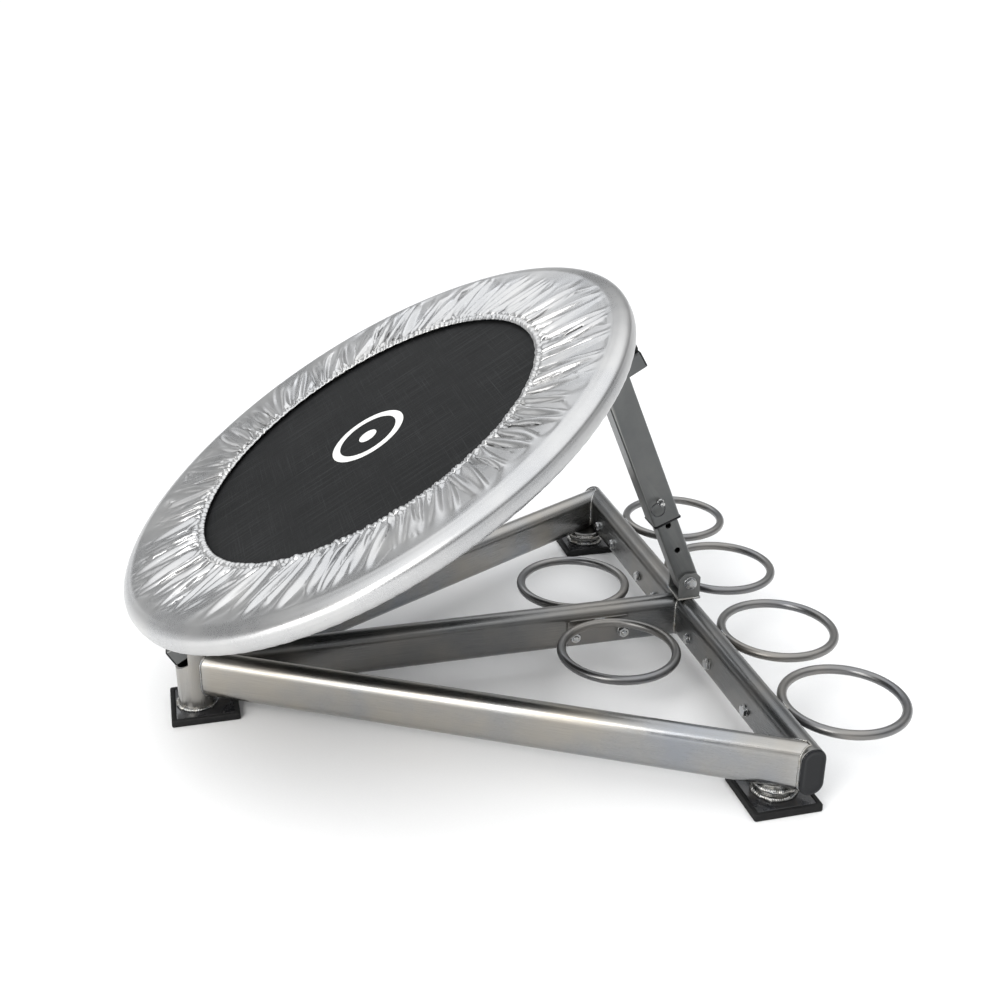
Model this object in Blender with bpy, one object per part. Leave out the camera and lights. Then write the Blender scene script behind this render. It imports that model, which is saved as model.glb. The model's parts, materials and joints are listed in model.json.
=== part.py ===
"""Ball rebounder: a round mini trampoline tilted on a flat-oval tube frame, with six ball rings.

World frame: metres, +Z up, floor at z = 0. The low end of the bed and the front post lie
towards -Y, the crossbar and the adjustable strut towards +Y, and the frame is symmetric in X.
Base parts hang from the empty "base_origin", whose local origin is under the front post.
Bed parts hang from "bed_axis", on the bed's hinge bolt, with local +Y up the slope and local
+Z square to the bed. Strut parts hang from "strut_axis", on the clevis bolt, with local +Z
up the strut.
"""

import math

import bmesh
import bpy
from mathutils import Matrix, Vector

# ---- driving dimensions (metres, radians) ---------------------------------------------

GAP = 0.0003                      # kept between pieces that touch
CUT_REACH = 0.05                  # half length of a cutting tool across one tube
CUT_OVERSHOOT = 0.02              # how far a cutting tool runs past the face it opens
SEAM_MARGIN = 0.001               # how far a corner cutter stands off the corner

POST_Y = -0.5048                  # front post, measured from the middle of the footprint
TUBE_WIDTH = 0.040                # flat-oval frame tube
TUBE_HEIGHT = 0.080
TUBE_WALL = 0.003
TUBE_FLAT_LAND = 0.0002            # half width of the flat left on top of the oval
TUBE_MID_Z = 0.071
CROSSBAR_Y = 0.873                # crossbar centreline behind the post
CROSSBAR_HALF = 0.512             # half its tube length
CAP_FLANGE = 0.004
CAP_BEVEL = 0.0015
CAP_DEPTH = 0.022                 # how far its plug goes into the tube
SIDE_RAIL_ANGLE = math.atan2(0.498, CROSSBAR_Y)
MITRE_REACH = 0.2                 # half size of the tool that mitres a side rail

PAD_SIDE = 0.112                  # rubber floor pads
PAD_HEIGHT = 0.012
PAD_RIM = 0.008
PAD_FLOOR = 0.007
PAD_CORNER = 0.003
PAD_INNER_CORNER = 0.002
PLATE_THICKNESS = 0.004
PLATE_SIDE = PAD_SIDE - 2 * PAD_RIM - 2 * GAP
PLATE_TOP = PAD_FLOOR + GAP + PLATE_THICKNESS
FRONT_PAD_Y = 0.012
REAR_FOOT = (0.4627, 0.8405)      # x and y of a rear foot
FOOT_POST_TOP = 0.037

POST_RADIUS = 0.030
POST_WALL = 0.003
POST_TOP = 0.1530                 # top of the two walls that hold the bed's hinge bolt
POST_SLOT = 0.041                 # across X, for the spine
SLOT_FLOOR = ((-0.040, 0.0776), (0.0145, 0.1136), (0.040, 0.1136))  # y, z under the spine
POST_NOTCH_Y = -0.009             # in front of this the post stops at the slot's floor

BED_TILT = math.radians(29.77)
HINGE_Y = 0.0102                  # bed hinge bolt, from the post
HINGE_Z = 0.1347
BED_CENTRE_Y = 0.420              # bed centre, up the slope from the hinge
BED_CENTRE_Z = 0.142              # rim crease plane, above the hinge
BED_RADIUS = 0.465

HOOP_RADIUS = 0.4465
HOOP_TUBE_RADIUS = 0.0127
HOOP_WALL = 0.0015
HOOP_DROP = 0.013                 # hoop centreline below the crease plane
HOOP_SEAM = 0.0006

SPINE_WIDTH = 0.040
SPINE_HEIGHT = 0.030
SPINE_WALL = 0.0025
SPINE_FRONT = -0.0506             # tube ends, up the slope from the hinge
SPINE_REAR = 0.8677
SPINE_CORNER = 0.003
SPINE_INNER_CORNER = 0.001
SPINE_CAP_FLANGE = 0.003
SPINE_CAP_BEVEL = 0.001
SPINE_CAP_DEPTH = 0.015
PIVOT_Y = 0.8107                  # strut bolt, up the slope from the hinge

LEG_RADIUS = 0.014
LEG_WALL = 0.002
LEG_OFFSET = 0.434                # leg axis from the bed centre
LEG_FOOT_RADIUS = 0.019
LEG_FOOT_HEIGHT = 0.022
LEG_FOOT_FLOOR = 0.004

COVER_SKIN = 0.0022
BED_SIDES = 44                    # flats round the cover and the mat
HOOP_SIDES = 40
MAT_RADIUS = 0.362
MAT_TOP = -0.0025                 # from the crease plane
MAT_THICKNESS = 0.003
SPRING_RADIUS = 0.004
SPRING_INNER = 0.3655
SPRING_OUTER = 0.4325
SPRING_DROP = 0.010
SPRING_NODES = 6

CLEVIS_SLOT = 0.041
CLEVIS_EAR = 0.0052
CLEVIS_BASE = 0.005
CLEVIS_CHAMFER = 0.009
STRUT_CLEVIS_LENGTH = 0.040
STRUT_CLEVIS_TOP = 0.1610
STRUT_CLEVIS_Y = 0.8746
STRUT_CLEVIS_BOLT_Z = 0.1431

STRUT_LEAN = math.radians(22.18)
STRUT_CORNER = 0.004
STRUT_INNER_CORNER = 0.0015
INNER_SIDE = 0.040
INNER_WALL = 0.003
INNER_BOTTOM = -0.014
INNER_TOP = 0.2955
OUTER_SIDE = 0.050
OUTER_WALL = 0.004
OUTER_BOTTOM = 0.1353
OUTER_TOP = 0.4416
OUTER_CUT = 0.400                 # above this only the two side walls go on, as ears
EAR_CHAMFER = 0.012               # corners cut off the ears
HOLE_RADIUS = 0.0055
FIRST_HOLE = 0.0705
HOLE_PITCH = 0.054
HOLE_COUNT = 5
PIN_HOLE = 2                      # the hole that the lock pin sits in
STRUT_PIVOT = 0.4256              # strut bolt above the clevis bolt
OPEN_PIVOT_RADIUS = 0.0074        # clearance of the ears round the strut bolt
OPEN_PIVOT_SHIFT = -0.0019        # middle of that clearance, square to the strut

PIN_RADIUS = 0.0045
PIN_COLLAR_RADIUS = 0.0065
PIN_COLLAR = 0.003
PIN_END_X = 0.0390
PIN_BEVEL = 0.001
PIN_CROSS_HOLE = 0.0022
PIN_RING_X = 0.0345
PIN_RING_RADIUS = 0.0125
PIN_RING_WIRE = 0.001
PIN_RING_HANG = math.radians(30)  # how far the ring hangs forward of plumb

RING_RADIUS = 0.0980              # ball rings, centreline of the bar
RING_BAR_RADIUS = 0.008
RING_Z = 0.0856
RING_WELD_DEPTH = 0.0015
TAB_THICKNESS = 0.005
TAB_LENGTH = 0.116
TAB_BOTTOM = 0.043
TAB_TOP = 0.093
TAB_CORNER = 0.006
INNER_RING_X = 0.1268
OUTER_RING_X = 0.3671
SIDE_RING_Y = 0.705

BOLT_SPACING = 0.090
BOLT_Z = 0.0625
M10 = {"radius": 0.005, "flats": 0.017, "head": 0.0065, "nut": 0.008}
M12 = {"radius": 0.006, "flats": 0.019, "head": 0.0075, "nut": 0.010}
THREAD_END = 0.003                # bolt thread past its nut
THREAD_BEVEL = 0.001
CROWN_SHARE = 0.87                # chamfered face of a head or nut, as a share of its width
FLATS_SHARE = 0.84                # its flats, as a share of its thickness

X_AXIS = Vector((1, 0, 0))
Y_AXIS = Vector((0, 1, 0))
Z_AXIS = Vector((0, 0, 1))

FINISHES = {                      # colour, metallic, roughness
    "frame_steel": ((0.42, 0.40, 0.38), 1.0, 0.30),
    "strut_steel": ((0.13, 0.135, 0.13), 0.8, 0.42),
    "zinc": ((0.70, 0.71, 0.72), 1.0, 0.22),
    "rubber": ((0.018, 0.019, 0.020), 0.0, 0.75),
    "black_plastic": ((0.020, 0.022, 0.026), 0.0, 0.28),
    "silver_vinyl": ((0.66, 0.66, 0.67), 0.55, 0.34),
    "mat_weave": ((0.035, 0.038, 0.040), 0.0, 0.72),
}


# ---- mesh helpers ---------------------------------------------------------------------

def make_material(name, finish):
    colour, metallic, roughness = FINISHES[finish]
    material = bpy.data.materials.new(name + "_" + finish)
    material.use_nodes = True
    shader = material.node_tree.nodes["Principled BSDF"]
    shader.inputs["Base Color"].default_value = (*colour, 1.0)
    shader.inputs["Metallic"].default_value = metallic
    shader.inputs["Roughness"].default_value = roughness
    return material


def add_empty(name, location, rotation_x=0.0, parent=None):
    empty = bpy.data.objects.new(name, None)
    empty.location = location
    empty.rotation_euler = (rotation_x, 0.0, 0.0)
    empty.parent = parent
    bpy.context.scene.collection.objects.link(empty)
    return empty


def add_loft(name, loops, finish=None, parent=None, location=(0, 0, 0), closed=False):
    """One solid through loops of equal length: capped at both ends, or closed on itself."""
    mesh = bpy.data.meshes.new(name)
    bm = bmesh.new()
    rings = [[bm.verts.new(point) for point in loop] for loop in loops]
    count = len(rings[0])
    pairs = list(zip(rings, rings[1:]))
    if closed:
        pairs.append((rings[-1], rings[0]))
    else:
        bm.faces.new(rings[0])
        bm.faces.new(rings[-1])
    for first, second in pairs:
        for i in range(count):
            j = (i + 1) % count
            bm.faces.new((first[i], first[j], second[j], second[i]))
    bmesh.ops.recalc_face_normals(bm, faces=bm.faces)
    bm.to_mesh(mesh)
    bm.free()
    mesh.shade_smooth()
    mesh.set_sharp_from_angle(angle=math.radians(35))
    part = bpy.data.objects.new(name, mesh)
    part.location = location
    part.parent = parent
    bpy.context.scene.collection.objects.link(part)
    if finish is None:
        part.hide_render = True
        part.display_type = "WIRE"
    else:
        mesh.materials.append(make_material(name, finish))
    return part


def combine(target, tool, operation):
    modifier = target.modifiers.new(operation.lower() + "_" + tool.name, "BOOLEAN")
    modifier.operation = operation
    modifier.solver = "EXACT"
    modifier.object = tool


def cut(target, *tools):
    for tool in tools:
        combine(target, tool, "DIFFERENCE")


def circle(radius, count=24):
    turn = math.tau / count
    return [(radius * math.cos(turn * (i + 0.5)), radius * math.sin(turn * (i + 0.5)))
            for i in range(count)]


def hexagon(across_flats):
    """Twelve points: the six corners and the middles of the six flats."""
    points = []
    for i in range(12):
        radius = across_flats / 2 if i % 2 == 0 else across_flats / 2 / math.cos(math.pi / 6)
        points.append((radius * math.cos(i * math.pi / 6), radius * math.sin(i * math.pi / 6)))
    return points


def rounded_box(width, height, radius, steps=4):
    """Rectangle with round corners; a radius of half its width gives the flat-oval tube."""
    points = []
    corners = ((1, 1), (-1, 1), (-1, -1), (1, -1))
    for quarter, (side, level) in enumerate(corners):
        centre_u = side * (width / 2 - radius)
        centre_v = level * (height / 2 - radius)
        for i in range(steps + 1):
            angle = (quarter + i / steps) * math.pi / 2
            points.append((centre_u + radius * math.cos(angle),
                           centre_v + radius * math.sin(angle)))
    return points


def flat_oval(inset=0.0):
    """The frame tube's section, shrunk by the inset all round, or grown by a negative one."""
    width = TUBE_WIDTH - 2 * inset
    height = TUBE_HEIGHT - 2 * inset
    return rounded_box(width, height, width / 2 - TUBE_FLAT_LAND, steps=5)


def square_section(side, radius):
    return rounded_box(side, side, radius, steps=3)


def place(section, origin, across, up):
    origin = Vector(origin)
    return [origin + across * u + up * v for u, v in section]


def add_prism(name, section, start, end, across, up, **options):
    loops = [place(section, start, across, up), place(section, end, across, up)]
    return add_loft(name, loops, **options)


def add_tube(name, outer, inner, start, end, across, up, **options):
    loops = [place(outer, start, across, up), place(outer, end, across, up),
             place(inner, end, across, up), place(inner, start, across, up)]
    return add_loft(name, loops, closed=True, **options)


def add_box(name, low, high, **options):
    (x0, y0, z0), (x1, y1, z1) = low, high
    corners = ((x0, y0), (x1, y0), (x1, y1), (x0, y1))
    loops = [[Vector((x, y, z)) for x, y in corners] for z in (z0, z1)]
    return add_loft(name, loops, **options)


def add_rod(name, radius, start, end, across, up, count=12, **options):
    return add_prism(name, circle(radius, count), start, end, across, up, **options)


def add_cross_rod(name, radius, y, z, parent):
    """Cutting tool for a bore along X through one tube."""
    return add_rod(name, radius, (-CUT_REACH, y, z), (CUT_REACH, y, z), Y_AXIS, Z_AXIS,
                   parent=parent)


def add_torus(name, ring_radius, wire_radius, around, across, **options):
    """A ring about the local Z axis of its object."""
    loops = []
    for i in range(around):
        turn = Matrix.Rotation(math.tau * i / around, 3, "Z")
        origin = turn @ Vector((ring_radius, 0, 0))
        loops.append(place(circle(wire_radius, across), origin, turn @ X_AXIS, Z_AXIS))
    return add_loft(name, loops, closed=True, **options)


def add_bolt(name, size, length, parent, location, along, across):
    """Hex bolt: its head's inner face is at the location, its shank runs along the axis."""
    up = along.cross(across)
    head = hexagon(size["flats"])
    shank = [(size["radius"] * math.cos(i * math.pi / 6), size["radius"] * math.sin(i * math.pi / 6))
             for i in range(12)]
    crown = [(CROWN_SHARE * u, CROWN_SHARE * v) for u, v in head]
    tip = [(CROWN_SHARE * u, CROWN_SHARE * v) for u, v in shank]
    thickness = size["head"]
    loops = [place(crown, along * -thickness, across, up),
             place(head, along * -FLATS_SHARE * thickness, across, up),
             place(head, (0, 0, 0), across, up),
             place(shank, (0, 0, 0), across, up),
             place(shank, along * (length - THREAD_BEVEL), across, up),
             place(tip, along * length, across, up)]
    return add_loft(name, loops, finish="zinc", parent=parent, location=location)


def add_nut(name, size, parent, location, along, across):
    up = along.cross(across)
    outer = hexagon(size["flats"])
    bore = size["radius"] + GAP
    inner = [(bore * math.cos(i * math.pi / 6), bore * math.sin(i * math.pi / 6))
             for i in range(12)]
    crown = [(CROWN_SHARE * u, CROWN_SHARE * v) for u, v in outer]
    thickness = size["nut"]
    loops = [place(outer, (0, 0, 0), across, up),
             place(outer, along * FLATS_SHARE * thickness, across, up),
             place(crown, along * thickness, across, up),
             place(inner, along * thickness, across, up),
             place(inner, (0, 0, 0), across, up)]
    return add_loft(name, loops, finish="zinc", parent=parent, location=location, closed=True)


# ---- base frame -----------------------------------------------------------------------

def add_foot(side, x, y, base):
    """Square rubber pad with a recess, and the steel plate that sits in it."""
    outer = rounded_box(PAD_SIDE, PAD_SIDE, PAD_CORNER, steps=2)
    recess = PAD_SIDE - 2 * PAD_RIM
    inner = rounded_box(recess, recess, PAD_INNER_CORNER, steps=2)
    loops = [place(outer, (0, 0, 0), X_AXIS, Y_AXIS),
             place(outer, (0, 0, PAD_HEIGHT), X_AXIS, Y_AXIS),
             place(inner, (0, 0, PAD_HEIGHT), X_AXIS, Y_AXIS),
             place(inner, (0, 0, PAD_FLOOR), X_AXIS, Y_AXIS)]
    add_loft(side + "_foot_pad", loops, finish="rubber", parent=base, location=(x, y, 0))
    plate = rounded_box(PLATE_SIDE, PLATE_SIDE, PAD_INNER_CORNER, steps=2)
    add_prism(side + "_foot_plate", plate, (0, 0, 0), (0, 0, PLATE_THICKNESS), X_AXIS, Y_AXIS,
              finish="frame_steel", parent=base, location=(x, y, PAD_FLOOR + GAP))


def add_front_post(base):
    """Round pipe, slotted at the top so that its two side walls carry the bed's hinge."""
    post = add_tube("front_post", circle(POST_RADIUS), circle(POST_RADIUS - POST_WALL),
                    (0, 0, PLATE_TOP + GAP), (0, 0, POST_TOP), X_AXIS, Y_AXIS,
                    finish="frame_steel", parent=base)
    above = POST_TOP + CUT_OVERSHOOT
    floor = list(SLOT_FLOOR)
    slot_outline = floor + [(floor[-1][0], above), (floor[0][0], above)]
    slot = add_prism("cut_post_slot", slot_outline, (-POST_SLOT / 2, 0, 0),
                     (POST_SLOT / 2, 0, 0), Y_AXIS, Z_AXIS, parent=base)
    (y0, z0), (y1, z1) = floor[0], floor[1]
    notch_z = z0 + (z1 - z0) * (POST_NOTCH_Y - y0) / (y1 - y0)
    notch_outline = [(y0, z0), (POST_NOTCH_Y, notch_z), (POST_NOTCH_Y, above), (y0, above)]
    notch = add_prism("cut_post_notch", notch_outline, (-CUT_REACH, 0, 0), (CUT_REACH, 0, 0),
                      Y_AXIS, Z_AXIS, parent=base)
    bore = add_cross_rod("cut_post_bore", M12["radius"] + GAP, HINGE_Y, HINGE_Z, base)
    cut(post, slot, notch, bore)


def rail_ends(angle):
    """Ends of a rail's centreline: at the post's axis and past the crossbar."""
    direction = Vector((math.sin(angle), math.cos(angle), 0))
    reach = (CROSSBAR_Y + 0.75 * TUBE_WIDTH) / math.cos(angle)
    start = Vector((0, 0, TUBE_MID_Z))
    return start, start + direction * reach, Vector((math.cos(angle), -math.sin(angle), 0))


def add_rail(name, angle, base, cutters):
    start, end, across = rail_ends(angle)
    rail = add_tube(name, flat_oval(), flat_oval(TUBE_WALL), start, end, across, Z_AXIS,
                    finish="frame_steel", parent=base)
    cut(rail, *cutters)
    return rail


def add_rail_cutter(name, angle, base):
    start, end, across = rail_ends(angle)
    return add_prism(name, flat_oval(-GAP), start, end, across, Z_AXIS, parent=base)


def add_crossbar_cutter(base):
    """Everything from the crossbar's front skin backwards: it fish-mouths the rails."""
    front = [(u, v) for u, v in flat_oval(-GAP) if u <= 1e-6]
    front.sort(key=lambda point: -point[1])
    back = TUBE_WIDTH * 3
    outline = [(back, front[0][1])] + front + [(back, front[-1][1])]
    half = CROSSBAR_HALF + 2 * CUT_REACH
    middle = Vector((0, CROSSBAR_Y, TUBE_MID_Z))
    return add_prism("cut_crossbar", outline, middle - X_AXIS * half, middle + X_AXIS * half,
                     Y_AXIS, Z_AXIS, parent=base)


def add_foot_post(side, x, rail_cutter, bar_cutter, base):
    outer = circle(POST_RADIUS)
    inner = circle(POST_RADIUS - POST_WALL)
    post = add_tube(side + "_foot_post", outer, inner, (x, REAR_FOOT[1], PLATE_TOP + GAP),
                    (x, REAR_FOOT[1], FOOT_POST_TOP), X_AXIS, Y_AXIS,
                    finish="frame_steel", parent=base)
    cut(post, rail_cutter, bar_cutter)


def add_end_cap(side, direction, base):
    """Plug with a flange that covers the end of the crossbar."""
    along = X_AXIS * direction
    flange = flat_oval()
    plug = flat_oval(TUBE_WALL + GAP)
    loops = [place(flat_oval(CAP_BEVEL), along * CAP_FLANGE, Y_AXIS, Z_AXIS),
             place(flange, along * (CAP_FLANGE - CAP_BEVEL), Y_AXIS, Z_AXIS),
             place(flange, along * GAP, Y_AXIS, Z_AXIS),
             place(plug, along * GAP, Y_AXIS, Z_AXIS),
             place(plug, along * -CAP_DEPTH, Y_AXIS, Z_AXIS)]
    add_loft(side + "_crossbar_cap", loops, finish="black_plastic", parent=base,
             location=(direction * CROSSBAR_HALF, CROSSBAR_Y, TUBE_MID_Z))


def add_clevis(name, length, bottom, top, bolt_z, y, base):
    """U bracket with its ears square to X and chamfered top corners."""
    half = CLEVIS_SLOT / 2 + CLEVIS_EAR
    reach = length / 2
    chamfer = CLEVIS_CHAMFER
    outline = [(-reach, bottom), (reach, bottom), (reach, top - chamfer),
               (reach - chamfer, top), (-reach + chamfer, top), (-reach, top - chamfer)]
    block = add_prism(name, outline, (-half, y, 0), (half, y, 0), Y_AXIS, Z_AXIS,
                      finish="strut_steel", parent=base)
    slot = add_box("cut_" + name + "_slot", (-CLEVIS_SLOT / 2, y - length, bottom + CLEVIS_BASE),
                   (CLEVIS_SLOT / 2, y + length, top + CUT_OVERSHOOT), parent=base)
    bore = add_cross_rod("cut_" + name + "_bore", M12["radius"] + GAP, y, bolt_z, base)
    cut(block, slot, bore)


def add_cross_bolt(name, half, y, z, base):
    """M12 bolt along X, its head on the +X side, and its nut; half is the grip each way."""
    length = 2 * half + M12["nut"] + THREAD_END
    add_bolt(name + "_bolt", M12, length, base, (half, y, z), -X_AXIS, Y_AXIS)
    add_nut(name + "_nut", M12, base, (-half, y, z), -X_AXIS, Y_AXIS)


def add_ball_ring(name, centre, outward, base, bore_cutter):
    """Round-bar ring welded to the tab that bolts it to a frame tube."""
    ring = add_torus(name, RING_RADIUS, RING_BAR_RADIUS, 28, 8, finish="frame_steel",
                     parent=base, location=centre)
    outward = Vector(outward)
    along = Z_AXIS.cross(outward)
    face = RING_RADIUS + RING_BAR_RADIUS - RING_WELD_DEPTH
    middle_z = (TAB_TOP + TAB_BOTTOM) / 2
    section = rounded_box(TAB_LENGTH, TAB_TOP - TAB_BOTTOM, TAB_CORNER, steps=1)
    tab_centre = Vector((centre[0], centre[1], middle_z))
    inner_face = tab_centre - outward * (face + TAB_THICKNESS)
    tab = add_prism("join_" + name, section, inner_face, tab_centre - outward * face,
                    along, Z_AXIS, parent=base)
    combine(ring, tab, "UNION")
    cut(ring, bore_cutter)


def ring_reach():
    """From a tube's centreline to the centre of a ring bolted to it."""
    return (TUBE_WIDTH / 2 + GAP + TAB_THICKNESS + RING_RADIUS + RING_BAR_RADIUS
            - RING_WELD_DEPTH)


def add_bolt_cutter(name, places, base):
    """One tool with a separate rod for each bolt hole; places are (start, end) pairs."""
    mesh = bpy.data.meshes.new(name)
    bm = bmesh.new()
    for start, end in places:
        along = (end - start).normalized()
        across = Z_AXIS.cross(along)
        rings = [[bm.verts.new(point) for point in place(circle(M10["radius"] + GAP, 12), at,
                                                         across, Z_AXIS)]
                 for at in (start, end)]
        bm.faces.new(rings[0])
        bm.faces.new(rings[1])
        for i in range(12):
            j = (i + 1) % 12
            bm.faces.new((rings[0][i], rings[0][j], rings[1][j], rings[1][i]))
    bmesh.ops.recalc_face_normals(bm, faces=bm.faces)
    bm.to_mesh(mesh)
    bm.free()
    cutter = bpy.data.objects.new(name, mesh)
    cutter.parent = base
    cutter.hide_render = True
    cutter.display_type = "WIRE"
    bpy.context.scene.collection.objects.link(cutter)
    return cutter


def build_base():
    base = add_empty("base_origin", (0, POST_Y, 0))
    add_foot("front", 0, FRONT_PAD_Y, base)
    add_front_post(base)

    bar_cutter = add_crossbar_cutter(base)
    post_cutter = add_rod("cut_post", POST_RADIUS + GAP, (0, 0, 0), (0, 0, 2 * POST_TOP),
                          X_AXIS, Y_AXIS, count=24, parent=base)
    ring_xs = (-OUTER_RING_X, -INNER_RING_X, INNER_RING_X, OUTER_RING_X)
    offsets = (-BOLT_SPACING / 2, BOLT_SPACING / 2)
    rear_places = [(Vector((x + offset, CROSSBAR_Y - CUT_REACH, BOLT_Z)),
                    Vector((x + offset, CROSSBAR_Y + CUT_REACH, BOLT_Z)))
                   for x in ring_xs for offset in offsets]
    side_places = [(Vector((-CUT_REACH, SIDE_RING_Y + offset, BOLT_Z)),
                    Vector((CUT_REACH, SIDE_RING_Y + offset, BOLT_Z))) for offset in offsets]
    rear_bores = add_bolt_cutter("cut_rear_bores", rear_places, base)
    side_bores = add_bolt_cutter("cut_side_bores", side_places, base)

    for side, sign in (("left", -1), ("right", 1)):
        # The side rails are mitred flat against the centre rail and curved round the post.
        near, far = sorted((-sign * MITRE_REACH, sign * (TUBE_WIDTH / 2 + GAP)))
        mitre = add_box("cut_" + side + "_mitre", (near, -MITRE_REACH, 0),
                        (far, MITRE_REACH, 2 * POST_TOP), parent=base)
        add_rail(side + "_rail", sign * SIDE_RAIL_ANGLE, base, (bar_cutter, post_cutter, mitre))
        add_foot(side, sign * REAR_FOOT[0], REAR_FOOT[1], base)
        rail_cutter = add_rail_cutter("cut_" + side + "_rail", sign * SIDE_RAIL_ANGLE, base)
        add_foot_post(side, sign * REAR_FOOT[0], rail_cutter, bar_cutter, base)
        add_end_cap(side, sign, base)
    add_rail("centre_rail", 0.0, base, (bar_cutter, post_cutter, side_bores))

    middle = Vector((0, CROSSBAR_Y, TUBE_MID_Z))
    crossbar = add_tube("crossbar", flat_oval(), flat_oval(TUBE_WALL),
                        middle - X_AXIS * CROSSBAR_HALF, middle + X_AXIS * CROSSBAR_HALF,
                        Y_AXIS, Z_AXIS, finish="frame_steel", parent=base)
    cut(crossbar, rear_bores)

    add_clevis("strut_clevis", STRUT_CLEVIS_LENGTH, TUBE_MID_Z + TUBE_HEIGHT / 2 + GAP,
               STRUT_CLEVIS_TOP, STRUT_CLEVIS_BOLT_Z, STRUT_CLEVIS_Y, base)
    add_cross_bolt("strut_clevis", CLEVIS_SLOT / 2 + CLEVIS_EAR + GAP, STRUT_CLEVIS_Y,
                   STRUT_CLEVIS_BOLT_Z, base)
    add_cross_bolt("bed_hinge", POST_RADIUS + GAP, HINGE_Y, HINGE_Z, base)

    for i, x in enumerate(ring_xs, start=1):
        add_ball_ring(f"rear_ball_ring_{i}", (x, CROSSBAR_Y + ring_reach(), RING_Z),
                      (0, 1, 0), base, rear_bores)
    for side, sign in (("left", -1), ("right", 1)):
        add_ball_ring(side + "_ball_ring", (sign * ring_reach(), SIDE_RING_Y, RING_Z),
                      (sign, 0, 0), base, side_bores)

    skin = TUBE_WIDTH / 2 + GAP
    rear_length = 2 * skin + TAB_THICKNESS + M10["nut"] + THREAD_END
    for i, (start, _) in enumerate(rear_places, start=1):
        add_bolt(f"rear_ring_bolt_{i}", M10, rear_length, base,
                 (start.x, CROSSBAR_Y - skin, BOLT_Z), Y_AXIS, X_AXIS)
    side_reach = skin + TAB_THICKNESS + GAP
    side_length = 2 * side_reach + M10["nut"] + THREAD_END
    for i, (start, _) in enumerate(side_places, start=1):
        add_bolt(f"side_ring_bolt_{i}", M10, side_length, base,
                 (-side_reach, start.y, BOLT_Z), X_AXIS, Y_AXIS)


# ---- bed ------------------------------------------------------------------------------

def add_spine(bed):
    """Rectangular tube under the bed, with the hinge hole and the strut bolt's hole."""
    outer = rounded_box(SPINE_WIDTH, SPINE_HEIGHT, SPINE_CORNER, steps=2)
    inner = rounded_box(SPINE_WIDTH - 2 * SPINE_WALL, SPINE_HEIGHT - 2 * SPINE_WALL,
                        SPINE_INNER_CORNER, steps=2)
    spine = add_tube("spine", outer, inner, (0, SPINE_FRONT, 0), (0, SPINE_REAR, 0),
                     X_AXIS, Z_AXIS, finish="strut_steel", parent=bed)
    hinge_bore = add_cross_rod("cut_spine_hinge", M12["radius"] + GAP, 0, 0, bed)
    pivot_bore = add_cross_rod("cut_spine_pivot", M10["radius"] + GAP, PIVOT_Y, 0, bed)
    cut(spine, hinge_bore, pivot_bore)
    plug = rounded_box(SPINE_WIDTH - 2 * SPINE_WALL - 2 * GAP,
                       SPINE_HEIGHT - 2 * SPINE_WALL - 2 * GAP, SPINE_INNER_CORNER, steps=2)
    bevel = SPINE_CAP_BEVEL
    face = rounded_box(SPINE_WIDTH - 2 * bevel, SPINE_HEIGHT - 2 * bevel,
                       SPINE_CORNER - bevel, steps=2)
    for side, end, sign in (("front", SPINE_FRONT, -1), ("rear", SPINE_REAR, 1)):
        along = Y_AXIS * sign
        loops = [place(face, along * SPINE_CAP_FLANGE, X_AXIS, Z_AXIS),
                 place(outer, along * (SPINE_CAP_FLANGE - bevel), X_AXIS, Z_AXIS),
                 place(outer, along * GAP, X_AXIS, Z_AXIS),
                 place(plug, along * GAP, X_AXIS, Z_AXIS),
                 place(plug, along * -SPINE_CAP_DEPTH, X_AXIS, Z_AXIS)]
        add_loft(side + "_spine_cap", loops, finish="black_plastic", parent=bed,
                 location=(0, end, 0))


def add_leg(side, y, bed):
    """Short round leg between the spine and the hoop, in a rubber cup."""
    seat = SPINE_HEIGHT / 2 + GAP
    cup_outer = circle(LEG_FOOT_RADIUS, 20)
    cup_inner = circle(LEG_RADIUS + GAP, 20)
    loops = [place(cup_outer, (0, 0, 0), X_AXIS, Y_AXIS),
             place(cup_outer, (0, 0, LEG_FOOT_HEIGHT), X_AXIS, Y_AXIS),
             place(cup_inner, (0, 0, LEG_FOOT_HEIGHT), X_AXIS, Y_AXIS),
             place(cup_inner, (0, 0, LEG_FOOT_FLOOR), X_AXIS, Y_AXIS)]
    add_loft(side + "_leg_cup", loops, finish="rubber", parent=bed, location=(0, y, seat))
    low = seat + LEG_FOOT_FLOOR + GAP
    high = BED_CENTRE_Z - HOOP_DROP - HOOP_TUBE_RADIUS - GAP
    add_tube(side + "_leg", circle(LEG_RADIUS, 20), circle(LEG_RADIUS - LEG_WALL, 20),
             (0, y, low), (0, y, high), X_AXIS, Y_AXIS, finish="frame_steel", parent=bed)


def add_hoop(bed):
    """Round hoop of thin tube, its two open ends meeting at a fine seam at the rear."""
    seam = HOOP_SEAM / HOOP_RADIUS
    outer_loops = []
    inner_loops = []
    for i in range(HOOP_SIDES + 1):
        angle = math.pi / 2 + seam / 2 + (math.tau - seam) * i / HOOP_SIDES
        turn = Matrix.Rotation(angle, 3, "Z")
        origin = turn @ Vector((HOOP_RADIUS, 0, 0))
        outer_loops.append(place(circle(HOOP_TUBE_RADIUS, 8), origin, turn @ X_AXIS, Z_AXIS))
        inner_loops.append(place(circle(HOOP_TUBE_RADIUS - HOOP_WALL, 8), origin,
                                 turn @ X_AXIS, Z_AXIS))
    add_loft("bed_hoop", outer_loops + inner_loops[::-1], finish="frame_steel", parent=bed,
             location=(0, BED_CENTRE_Y, BED_CENTRE_Z - HOOP_DROP), closed=True)


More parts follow.
